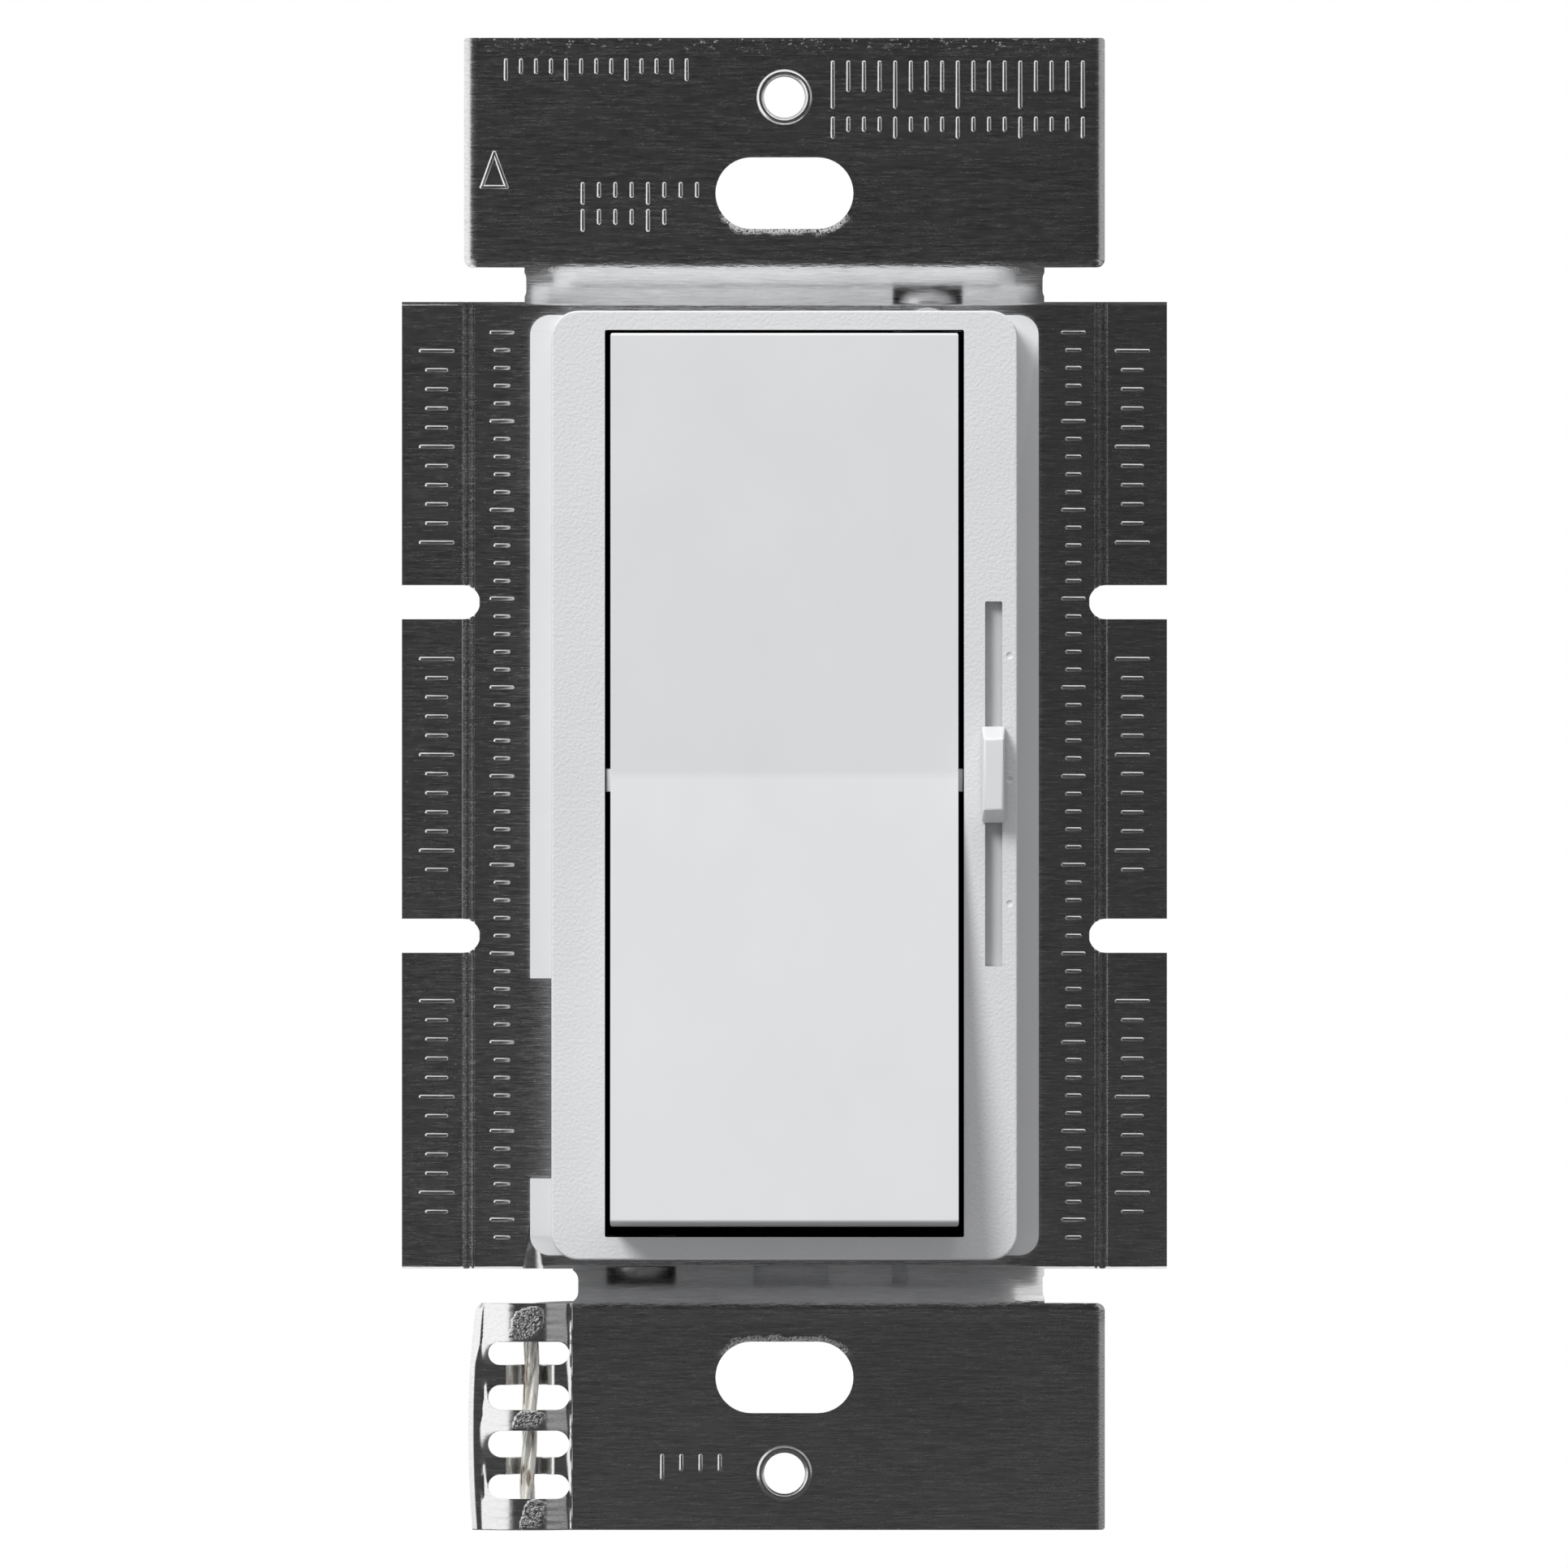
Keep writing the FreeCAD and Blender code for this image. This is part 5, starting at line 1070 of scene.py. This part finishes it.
    def corner_tool(self, x: float, z: float, out_x: int, out_z: int, radius: float) -> bpy.types.Object:
        """A cutter that leaves one corner of the sheet round.

        Args:
            x: The corner's place across the strap.
            z: Its place along the strap.
            out_x: Which way is out of the sheet along X, 1 or -1.
            out_z: Which way is out of the sheet along Z, 1 or -1.
            radius: The corner's radius.

        Returns:
            The cutter.
        """
        cx, cz = x - out_x * radius, z - out_z * radius
        x0, x1 = sorted((cx, x + out_x * 0.5))
        z0, z1 = sorted((cz, z + out_z * 0.5))
        block = add_block("corner", (x0, -3, z0), (x1, 4, z1))
        cut_with(block, [add_rod("round", radius, (cx, -4, cz), (cx, 5, cz), 48)])
        return block

    def roll_sides(self, strap: bpy.types.Object) -> None:
        """Give both ears' side edges the roll that shearing leaves."""
        width = 0.95
        steps = 5
        for side in (-1, 1):
            for i in range(steps):
                x = side * (self.ear_half_w - width * (1 - i / steps))
                bisect(strap, (x, 0, 0), (1, 0, 0))
        for vertex in strap.data.vertices:
            x, y, z = vertex.co / MM
            if abs(z) < self.ear_inner - 0.3 or y > self.ear_front + 0.2:
                continue
            part = max(0.0, (abs(x) - (self.ear_half_w - width)) / width)
            depth = 0.25 if x < 0 else 0.33
            vertex.co.y += depth * part**2 * MM

    def raise_lips(self, strap: bpy.types.Object) -> None:
        """Raise the soft lip that the scoring tool pushed up beside its outer groove."""
        for side in (-1, 1):
            for shift in (-0.17, 0.0, 0.17):
                bisect(strap, (side * (self.lip_x + shift), 0, 0), (1, 0, 0))
        front = self.ear_front + self.step
        for vertex in strap.data.vertices:
            x, y, z = vertex.co / MM
            if abs(abs(x) - self.lip_x) < 0.02 and abs(y - front) < 0.02:
                vertex.co.y -= self.lip * MM

    def collars(self) -> bpy.types.Object:
        """The raised rims of the two tapped holes."""
        rims = []
        for up in (1, -1):
            deselect()
            bpy.ops.mesh.primitive_torus_add(
                major_radius=self.collar[0] * MM,
                minor_radius=self.collar[1] * MM,
                major_segments=72,
                minor_segments=16,
                location=(0, self.ear_front * MM, up * self.plate_hole_z * MM),
                rotation=(math.pi / 2, 0, 0),
            )
            rims.append(settle("hole_collar"))
        piece = join("hole_collars", rims)
        smooth(piece, 60)
        return piece

    def stamped_marks(self) -> bpy.types.Object:
        """Raised plain marks: rows of ticks beside the bezel and on the fins, and an arrow."""
        plate_y = self.ear_front + self.step
        bars = []
        for x, z0, z1, pitch, half in self.tick_rows():
            for i in range(int(round((z0 - z1) / pitch)) + 1):
                long = half if i % 5 == 0 else half * 0.6
                z = z0 - i * pitch
                bars.append(self.mark_bar((x - long, plate_y, z), (x + long, plate_y, z)))
        ear_y = self.ear_front
        for x0, x1, z, pitch, tall in self.ear_rows:
            for i in range(int(round((x1 - x0) / pitch)) + 1):
                height = tall if i % 4 == 0 else tall * 0.62
                x = x0 + i * pitch
                bars.append(self.mark_bar((x, ear_y, z - height), (x, ear_y, z)))
        for i, start in enumerate(self.arrow):
            end = self.arrow[(i + 1) % len(self.arrow)]
            bars.append(self.mark_bar((start[0], ear_y, start[1]), (end[0], ear_y, end[1])))
        marks = join("stamped_marks", bars)
        smooth(marks, 90)
        return marks

    def tick_rows(self) -> list[tuple[float, float, float, float, float]]:
        """X, first Z, last Z, pitch and half width of each row of ticks on the plate."""
        spans = ((30.6, 17.4), (8.9, -6.4), (-15.2, -29.4))
        rows = [(-19.9, 31.9, -31.9, 1.25, 0.72), (20.35, 31.9, -31.9, 1.25, 0.72)]
        return rows + [(side * 24.5, high, low, 1.35, 1.1) for side in (-1, 1) for high, low in spans]

    def mark_bar(self, start: Point, end: Point) -> bpy.types.Object:
        """One raised stroke with round ends and a rounded top, between two points on the face."""
        radius, rise = self.stroke
        a, b = Vector(start), Vector(end)
        along = (b - a).normalized()
        turn = Vector((0, 0, 1)).rotation_difference(along).to_euler()
        deselect()
        bpy.ops.mesh.primitive_uv_sphere_add(
            segments=12, ring_count=8, radius=radius * MM, location=a * MM, rotation=turn
        )
        bar = settle("stroke")
        for vertex in bar.data.vertices:
            if (vertex.co / MM - a).dot(along) > 0.01:
                vertex.co += (b - a) * MM
            vertex.co.y = (a.y + (vertex.co.y / MM - a.y) * rise / radius) * MM
        return bar

    def rivet_heads(self) -> bpy.types.Object:
        """The two rivets, with domed heads on the plate."""
        heads = []
        radius, height = 2.3, 1.2
        ball = (radius**2 + height**2) / (2 * height)
        plate_y = self.ear_front + self.step
        for x, z in self.rivets:
            deselect()
            centre = (x * MM, (plate_y - height + ball) * MM, z * MM)
            bpy.ops.mesh.primitive_uv_sphere_add(
                segments=48, ring_count=48, radius=ball * MM, location=centre, rotation=(math.pi / 2, 0, 0)
            )
            head = settle("rivet_head")
            in_edit(head, "VERT")
            bpy.ops.mesh.select_all(action="SELECT")
            bpy.ops.mesh.bisect(
                plane_co=(0, (plate_y + 0.02) * MM, 0), plane_no=(0, 1, 0), use_fill=True, clear_outer=True
            )
            leave_edit()
            heads.append(head)
        shanks = copy_of("strap_rivets", "rivet_shanks")
        cut_behind(shanks)
        domes = join("strap_rivets_dressed", heads + [shanks])
        smooth(domes, 50)
        return domes


# Front mouldings


@dataclass
class FrontMouldings:
    """Bezel, paddle, slider knob and the flange behind them."""

    corner_r: float = 1.9
    front_bevel: float = 0.16
    wall: float = 1.0
    pocket: tuple[float, float] = (0.8, 0.6)
    front_t: float = 1.5
    rim: float = 0.9
    well_half_w: float = WELL_HALF_W
    well: tuple[float, float] = (WELL_TOP, WELL_LOW)
    well_corner: float = 0.12
    pivot: tuple[float, float, float] = (-3.0, 0.35, 0.9)
    slot_x: tuple[float, float] = (14.08, 15.28)
    slot_z: tuple[float, float] = (12.9, -12.7)
    slot_corner: float = 0.1
    tab_x: tuple[float, float] = (13.45, 15.1)
    tab_z: tuple[float, float] = (18.0, 23.0)
    tab_end: float = 0.5
    dimple_x: float = 15.8
    dimples: tuple[float, ...] = (9.1, 0.4, -8.3)
    dimple_r: float = 0.32
    dimple_out: float = 0.2
    knob: tuple[float, float] = (14.66, 0.75)
    knob_base: tuple[float, float] = (0.825, 3.37)
    knob_top: tuple[float, float] = (0.72, 2.52)
    knob_clear: float = 0.15
    knob_height: float = 2.35

    def build(self) -> None:
        """Make the front pieces."""
        bezel = self.bezel()
        hand_over(bezel, Palette.BEZEL, Body.SWITCH, ["bezel"])
        # Painted shade on the well's walls.
        self.paint_well_shade(bezel)
        hand_over(self.paddle(), Palette.PADDLE, Body.PADDLE, ["paddle"])
        hand_over(self.slider_knob(), Palette.KNOB, Body.SLIDER, ["speed_knob"])
        flange = copy_of("base_frame", "base_frame_dressed")
        soften(flange, 0.12, 2, 50)
        cut_behind(flange)
        hand_over(flange, Palette.FRAME, Body.SWITCH, ["base_frame"])
        # Painted shade on the flange behind the paddle's well.
        paint_shade_behind(flange)

    def bezel(self) -> bpy.types.Object:
        """The front insert: a rounded block, hollowed behind, with its well and slot."""
        low, high = node_box("bezel")
        face, back = low.y, frame_back()
        half_w, half_h = high.x, high.z
        piece = add_block("bezel_dressed", (-half_w, face, -half_h), (half_w, back, half_h))
        bevel_edges(piece, lambda a, b: abs(a.y - b.y) > 1, self.corner_r, 12)
        at_front = lambda a, b: max(a.y, b.y) < face + 0.01
        bevel_edges(piece, at_front, self.front_bevel, 4)
        tools = []
        rim_x = self.well_half_w + self.rim
        inner_x = half_w - self.wall
        inner_z = half_h - self.wall - 0.2
        for side in (-1, 1):
            x0, x1 = sorted((side * rim_x, side * inner_x))
            tools.append(add_block("hollow", (x0, face + self.front_t, -inner_z), (x1, back + 1, inner_z)))
        well_half = (self.well[0] - self.well[1]) / 2
        well_mid = (self.well[0] + self.well[1]) / 2
        size = (self.well_half_w, well_half)
        tools.append(slot_tool("well", (0, well_mid), size, (face - 1, back + 1), self.well_corner))
        slot_mid = (sum(self.slot_x) / 2, sum(self.slot_z) / 2)
        slot_half = ((self.slot_x[1] - self.slot_x[0]) / 2, (self.slot_z[0] - self.slot_z[1]) / 2)
        tools.append(slot_tool("slot", slot_mid, slot_half, (face - 1, face + self.front_t + 1), self.slot_corner))
        pocket_t, pocket_wall = self.pocket
        pocket_low = (rim_x, face + pocket_t, -inner_z)
        tools.append(add_block("pocket", pocket_low, (half_w - pocket_wall, face + self.front_t + 0.01, inner_z)))
        pivot_y, pivot_z, pivot_r = self.pivot
        reach = rim_x + 0.1
        tools.append(add_rod("pivot_bore", pivot_r, (-reach, pivot_y, pivot_z), (reach, pivot_y, pivot_z), 48))
        for z in self.dimples:
            deselect()
            centre = (self.dimple_x * MM, (face - self.dimple_out) * MM, z * MM)
            bpy.ops.mesh.primitive_uv_sphere_add(segments=32, ring_count=24, radius=self.dimple_r * MM, location=centre)
            tools.append(settle("dimple"))
        cut_with(piece, tools)
        cut_with(piece, self.tabs(face + self.front_t), "UNION")
        clean(piece, 0.3)
        soften(piece, 0.05, 2, 50)
        return piece

    def paint_well_shade(self, piece: bpy.types.Object) -> None:
        """Paint shade on the well's walls below their edge: a near-black finish where the gap round the paddle falls
        dark.
        """
        piece.data.materials.append(Palette.PAINTED_GAP_SHADE.material())
        top, low = self.well
        for face in piece.data.polygons:
            x, y, z = face.center / MM
            inside = abs(x) < self.well_half_w + 0.06 and low - 0.06 < z < top + 0.06
            if inside and y > node_box("bezel")[0].y + 0.15 and abs(face.normal.y) < 0.3:
                face.material_index = 1

    def tabs(self, start: float) -> list[bpy.types.Object]:
        """The bezel's four locating tabs, which reach into the flange."""
        blocks = []
        for side in (-1, 1):
            for up in (-1, 1):
                x0, x1 = sorted(side * x for x in self.tab_x)
                z0, z1 = sorted(up * z for z in self.tab_z)
                blocks.append(add_block("tab", (x0, start, z0), (x1, self.tab_end, z1)))
        return blocks

    def paddle(self) -> bpy.types.Object:
        """The rocker, with its long edges rounded."""
        piece = copy_of("paddle", "paddle_dressed")
        face = node_box("bezel")[0].y
        at_break = lambda a, b: abs(a.x - b.x) > 15 and max(a.y, b.y) < face and max(abs(a.z), abs(b.z)) < 2
        bevel_edges(piece, at_break, 0.3, 3)
        soften(piece, 0.1, 3, 50)
        bosses = [self.pivot_boss(side) for side in (-1, 1)]
        return join("paddle_dressed", [piece, *bosses])

    def pivot_boss(self, side: int) -> bpy.types.Object:
        """The low boss round one of the paddle's pivots, which shows in the gap beside it."""
        x0, x1 = sorted((side * (self.well_half_w - 0.7), side * (self.well_half_w - 0.08)))
        y, z, radius = self.pivot
        front = node_box("bezel")[0].y + 0.35
        boss = add_block("pivot_boss", (x0, front, z - radius + 0.1), (x1, y, z + radius - 0.1))
        soften(boss, 0.06, 2, 50)
        return boss

    def slider_knob(self) -> bpy.types.Object:
        """The slider's cap, tapered from a block, on its flat stem."""
        x, z = self.knob
        low, high = node_box("speed_knob")
        top_y = low.y
        base_y = top_y + self.knob_height
        half_x, half_z = self.knob_base
        cap = add_block("speed_knob_dressed", (x - half_x, top_y, z - half_z), (x + half_x, base_y, z + half_z))
        for vertex in cap.data.vertices:
            if vertex.co.y < (top_y + 0.1) * MM:
                vertex.co.x = (x + math.copysign(self.knob_top[0], vertex.co.x / MM - x)) * MM
                vertex.co.z = (z + math.copysign(self.knob_top[1], vertex.co.z / MM - z)) * MM
        bevel_edges(cap, lambda a, b: max(a.y, b.y) < base_y - 0.1, 0.2, 5)
        bevel_edges(cap, lambda a, b: abs(a.y - b.y) > 1, 0.16, 4)
        smooth(cap, 50)
        apply_modifier(cap, "WEIGHTED_NORMAL", keep_sharp=True, weight=60)
        stem = add_block("stem", (x - 0.43, base_y - 0.2, z - 3.2), (x + 0.43, high.y, z + 3.2))
        cut_with(stem, [add_block("fork", (x - 2, high.y - 3.0, z - 1.6), (x + 2, high.y + 1, z + 1.6))])
        return join("speed_knob_dressed", [cap, stem])


def frame_back() -> float:
    """Y of the flange's front face, which the bezel stands on."""
    return node_box("base_frame")[0].y + 1.2


# Back and inner parts


@dataclass
class BackParts:
    """Housing, screws and the parts inside."""

    recess_half: float = 1.3
    recess_width: float = 0.28
    recess_depth: float = 0.8

    def build(self) -> None:
        """Dress the housing and its screws, and give the inner parts their finishes."""
        housing = copy_of("back_housing", "back_housing_dressed")
        soften(housing, 0.22, 3, 40)
        hand_over(housing, Palette.HOUSING, Body.SWITCH, ["back_housing"])
        hand_over(self.screws(), Palette.SCREW, Body.SWITCH, ["housing_screws"])
        for node, finish in self.inner_finishes().items():
            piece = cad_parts[node]
            piece.data.materials.clear()
            piece.data.materials.append(finish.material())
            log.info("%s: %s", node, finish.name)

    def screws(self) -> bpy.types.Object:
        """The housing screws, with cross recesses."""
        piece = copy_of("housing_screws", "housing_screws_dressed")
        back = node_box("housing_screws")[1].y
        centres = screw_centres(piece)
        tools = []
        for x, z in centres:
            start, end = back - self.recess_depth, back + 1
            half, thin = self.recess_half, self.recess_width
            tools.append(add_block("recess", (x - half, start, z - thin), (x + half, end, z + thin)))
            tools.append(add_block("recess", (x - thin, start, z - half), (x + thin, end, z + half)))
        cut_with(piece, tools)
        soften(piece, 0.08, 2, 40)
        return piece

    def inner_finishes(self) -> dict[str, Finish]:
        """The finish of every solid that keeps its own mesh."""
        return {
            "paddle_plunger": Palette.NYLON,
            "paddle_spring": Palette.SPRING,
            "speed_shutter": Palette.SHUTTER,
            "speed_switch_case": Palette.SWITCH,
            "speed_contact_base": Palette.PHENOLIC,
            "speed_contacts": Palette.SILVER,
            "speed_carriage": Palette.CARRIAGE,
            "speed_wiper": Palette.COPPER,
            "speed_detent_spring": Palette.SPRING,
            "contact_cradle": Palette.CARRIAGE,
            "contact_arm": Palette.COPPER,
            "moving_contact": Palette.SILVER,
            "contact_pivot_pin": Palette.SPRING,
            "common_terminal": Palette.COPPER,
            "fixed_contact": Palette.SILVER,
            "switched_terminal": Palette.COPPER,
            "circuit_board": Palette.LAMINATE,
            "lead_terminals": Palette.TINNED,
            "speed_capacitor_large": Palette.CAPACITOR,
            "speed_capacitor_small": Palette.CAPACITOR,
            "noise_capacitor": Palette.CAPACITOR,
            "surge_suppressor": Palette.VARISTOR,
            "bleed_resistors": Palette.RESISTOR,
            "insulator_sheet": Palette.FIBRE,
        }


def screw_centres(piece: bpy.types.Object) -> list[tuple[float, float]]:
    """X and Z of each screw, from the two diagonal groups of its points."""
    centres = []
    for side in (-1, 1):
        xs = [v.co.x / MM for v in piece.data.vertices if v.co.x * side > 0]
        zs = [v.co.z / MM for v in piece.data.vertices if v.co.x * side > 0]
        centres.append(((min(xs) + max(xs)) / 2, (min(zs) + max(zs)) / 2))
    return centres


# Ground lead


@dataclass
class GroundLead:
    """The bare twisted end in the crimp and the insulated lead behind it."""

    x_top: float = -17.8
    x_low: float = -18.12
    wire_y: float = -0.505
    end_z: float = -51.3
    turn_z: float = -39.45
    lead_z: float = -37.95
    start_y: float = 3.0
    wire_r: float = 0.575
    strand_r: float = 0.31
    strand_count: int = 3
    lay: float = 15.0
    lead_r: float = 1.2
    coil_centre: tuple[float, float] = (-2.8, 17.0)
    coil_r: tuple[float, float, float] = (15.0, 12.0, 11.4)
    turns: float = 1.46
    points_a_turn: int = 16

    def build(self) -> None:
        """Make the strands and the lead."""
        hand_over(self.strands(), Palette.STRAND, Body.SWITCH, ["ground_conductor"])
        lead = self.lead()
        hand_over(lead, Palette.INSULATION, Body.SWITCH, ["ground_lead_tail", "ground_lead_coil"])
        self.length()

    def route(self) -> list[Point]:
        """Points of the bare wire's middle line, from its lower end to the insulation."""
        return [
            (self.x_low, self.wire_y, self.end_z),
            ((self.x_low + self.x_top) / 2, self.wire_y, -45.4),
            (self.x_top, self.wire_y, self.turn_z - 1.6),
            (self.x_top, self.wire_y, self.lead_z),
            (self.x_top, self.start_y - 1.5, self.lead_z),
            (self.x_top, self.start_y + 0.3, self.lead_z),
        ]

    def strands(self) -> bpy.types.Object:
        """Thick soft strands laid round each other along the wire's line."""
        spine = sample_line(add_line("wire_line", self.route()))
        ring = self.wire_r - self.strand_r
        turns = [2 * math.pi * k / self.strand_count for k in range(self.strand_count)]
        return join("ground_conductor_dressed", [self.one_strand(spine, ring, turn) for turn in turns])

    def one_strand(self, spine: list[Vector], radius: float, phase: float) -> bpy.types.Object:
        """One strand as a tube that winds round the spine.

        Args:
            spine: Points of the middle line, in metres.
            radius: How far the strand's middle is from it, in millimetres.
            phase: Where it starts round it, in radians.

        Returns:
            The strand's mesh.
        """
        along = 0.0
        points = []
        side = Vector((1, 0, 0))
        for i, here in enumerate(spine):
            ahead = spine[min(i + 1, len(spine) - 1)] - spine[max(i - 1, 0)]
            ahead.normalize()
            other = ahead.cross(side).normalized()
            across = other.cross(ahead).normalized()
            if i:
                along += (here - spine[i - 1]).length / MM
            angle = phase + 2 * math.pi * along / self.lay
            offset = across * math.cos(angle) + other * math.sin(angle)
            points.append(here + offset * radius * MM)
        curve = bpy.data.curves.new("strand", "CURVE")
        curve.dimensions = "3D"
        curve.bevel_depth = self.strand_r * MM
        curve.bevel_resolution = 3
        curve.use_fill_caps = True
        spline = curve.splines.new("POLY")
        spline.points.add(len(points) - 1)
        for point, place in zip(spline.points, points):
            point.co = (*place, 1)
        made = bpy.data.objects.new("strand", curve)
        bpy.context.scene.collection.objects.link(made)
        pick(made)
        bpy.ops.object.convert(target="MESH")
        strand = bpy.context.active_object
        smooth(strand, 60)
        return strand

    def lead_points(self) -> list[Point]:
        """The lead's route: straight back, then a flat spiral inwards at one level."""
        points = [
            (self.x_top, self.start_y, self.lead_z),
            (self.x_top, self.start_y + 6.0, self.lead_z),
        ]
        cx, cy = self.coil_centre
        outer, inner, last = self.coil_r
        count = int(self.turns * self.points_a_turn)
        for i in range(count + 1):
            turn = i / self.points_a_turn
            radius = outer + (inner - outer) * min(1.0, turn)
            if turn > 1:
                radius = inner + (last - inner) * (turn - 1) / (self.turns - 1)
            angle = math.pi - 2 * math.pi * turn
            points.append((cx + radius * math.cos(angle), cy + radius * math.sin(angle), self.lead_z))
        return points

    def lead(self) -> bpy.types.Object:
        """The insulated lead as one smooth curve."""
        lead = add_line("ground_lead", self.lead_points())
        lead.data.bevel_depth = self.lead_r * MM
        lead.data.bevel_resolution = 6
        lead.data.use_fill_caps = True
        return lead

    def length(self) -> float:
        """The lead's length in metres, along its smooth line."""
        line = sample_line(add_line("lead_line", self.lead_points()))
        return sum((b - a).length for a, b in zip(line, line[1:]))


def add_line(name: str, points: Sequence[Point]) -> bpy.types.Object:
    """A smooth open line with these control points, in millimetres."""
    curve = bpy.data.curves.new(name, "CURVE")
    curve.dimensions = "3D"
    spline = curve.splines.new("NURBS")
    spline.points.add(len(points) - 1)
    for control, place in zip(spline.points, points):
        control.co = (place[0] * MM, place[1] * MM, place[2] * MM, 1)
    spline.order_u = 3
    spline.use_endpoint_u = True
    spline.resolution_u = 12
    line = bpy.data.objects.new(name, curve)
    bpy.context.scene.collection.objects.link(line)
    return line


def sample_line(line: bpy.types.Object) -> list[Vector]:
    """Points along a smooth line with no thickness, which is used up."""
    mesh = bpy.data.meshes.new_from_object(line)
    points = [v.co.copy() for v in mesh.vertices]
    bpy.data.objects.remove(line)
    bpy.data.meshes.remove(mesh)
    return points


# Studio


@dataclass
class Studio:
    """Camera, lamps, floor and the cards that the metal reflects."""

    distance: float = 2.0
    frame_width: float = 0.11034
    centre: tuple[float, float] = (-0.00003, 0.00009)
    sensor: float = 36.0
    floor_z: float = -0.075
    fill: float = 0.325
    key_energy: float = 8.4
    top_energy: float = 4.0

    def build(self) -> None:
        """Set the stage."""
        self.camera()
        self.world()
        self.floor()
        self.lamp("key", (-0.50, -0.727, 0.658), 0.42, self.key_energy)
        self.lamp("overhead", (0.0, -0.3, 1.0), 0.8, self.top_energy)
        self.cards()
        bpy.context.scene.view_settings.view_transform = "Standard"

    def camera(self) -> None:
        """A long lens straight in front of the strap."""
        data = bpy.data.cameras.new("camera")
        data.sensor_width = self.sensor
        data.sensor_fit = "HORIZONTAL"
        data.lens = self.sensor * (self.distance - 0.0013) / self.frame_width
        data.clip_start = 0.05
        data.clip_end = 20
        made = bpy.data.objects.new("camera", data)
        made.location = (self.centre[0], -self.distance, self.centre[1])
        made.rotation_euler = (math.pi / 2, 0, 0)
        bpy.context.scene.collection.objects.link(made)
        bpy.context.scene.camera = made

    def world(self) -> None:
        """Soft grey light all round, which the camera and reflections see as white."""
        world = bpy.data.worlds.new("studio")
        bpy.context.scene.world = world
        world.use_nodes = True
        sheet = Sheet(world.node_tree)
        background = world.node_tree.nodes["Background"]
        path = sheet.add("ShaderNodeLightPath")
        seen = sheet.maths("MAXIMUM", path.outputs["Is Camera Ray"], path.outputs["Is Glossy Ray"])
        seen = sheet.maths("MAXIMUM", seen, path.outputs["Is Transmission Ray"])
        dim = (self.fill, self.fill, self.fill * 1.01)
        sheet.join(sheet.mix(seen, dim, (1.0, 1.0, 1.0)), background.inputs["Color"])
        background.inputs["Strength"].default_value = 1.0

    def floor(self) -> None:
        """A plain pale floor under the object."""
        deselect()
        bpy.ops.mesh.primitive_plane_add(size=1.0, location=(0, 0, self.floor_z))
        floor = settle("floor")
        material = bpy.data.materials.new("floor_paper")
        material.use_nodes = True
        sheet = Sheet(material.node_tree)
        shader = material.node_tree.nodes["Principled BSDF"]
        shader.inputs["Base Color"].default_value = (0.86, 0.86, 0.86, 1)
        shader.inputs["Roughness"].default_value = 0.9
        grain = sheet.add("ShaderNodeTexNoise", Scale=900.0)
        bump = sheet.add("ShaderNodeBump", Strength=0.1, Distance=0.0002)
        sheet.join(grain.outputs["Fac"], bump.inputs["Height"])
        sheet.join(bump.outputs["Normal"], shader.inputs["Normal"])
        floor.data.materials.append(material)
        floor.visible_diffuse = False

    def lamp(self, name: str, place: Point, size: float, energy: float) -> None:
        """One round soft lamp that looks at the middle and lights, but isn't mirrored.

        Args:
            name: The lamp's name.
            place: Where it stands, in metres.
            size: Its diameter, in metres.
            energy: Its power, in watts.
        """
        data = bpy.data.lights.new(name, "AREA")
        data.shape = "DISK"
        data.size = size
        data.energy = energy
        lamp = bpy.data.objects.new(name, data)
        lamp.location = place
        lamp.rotation_euler = Vector(place).to_track_quat("Z", "Y").to_euler()
        lamp.visible_glossy = False
        bpy.context.scene.collection.objects.link(lamp)

    def cards(self) -> None:
        """Dark cards in front, below and at the right, seen only in reflections."""
        self.card("front_flag", (0.09, -0.5, 0), (math.pi / 2, 0, 0), (0.84, 1.0), (0.034, 0.034, 0.0345))
        self.card("low_flag", (0.245, -0.2, self.floor_z + 0.005), (0, 0, 0), (0.71, 0.9), (0.08, 0.08, 0.08))
        self.card("right_flag", (0.52, -0.1, 0), (0, math.pi / 2, 0), (0.9, 0.8), (0.42, 0.42, 0.42))

    def card(self, name: str, place: Point, turn: Point, size: tuple[float, float], colour: Colour) -> None:
        """One card that only reflections see.

        Args:
            name: The card's name.
            place: Its middle, in metres.
            turn: Its rotation, in radians.
            size: Its width and height, in metres.
            colour: What it gives off.
        """
        deselect()
        bpy.ops.mesh.primitive_plane_add(size=1.0, location=place, rotation=turn)
        bpy.context.active_object.scale = (*size, 1)
        card = settle(name)
        material = bpy.data.materials.new(name)
        material.use_nodes = True
        tree = material.node_tree
        tree.nodes.remove(tree.nodes["Principled BSDF"])
        glow = tree.nodes.new("ShaderNodeEmission")
        glow.inputs["Color"].default_value = (*colour, 1)
        tree.links.new(glow.outputs["Emission"], tree.nodes["Material Output"].inputs["Surface"])
        card.data.materials.append(material)
        card.visible_camera = False
        card.visible_diffuse = False
        card.visible_transmission = False
        card.visible_volume_scatter = False
        card.visible_shadow = False


def main() -> None:
    """Build the pieces in order."""
    logging.basicConfig(level=logging.INFO, format="%(name)s %(message)s")
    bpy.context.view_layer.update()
    Studio().build()
    GroundLead().build()
    Strap().build()
    FrontMouldings().build()
    BackParts().build()


if __name__ == "__main__":
    main()
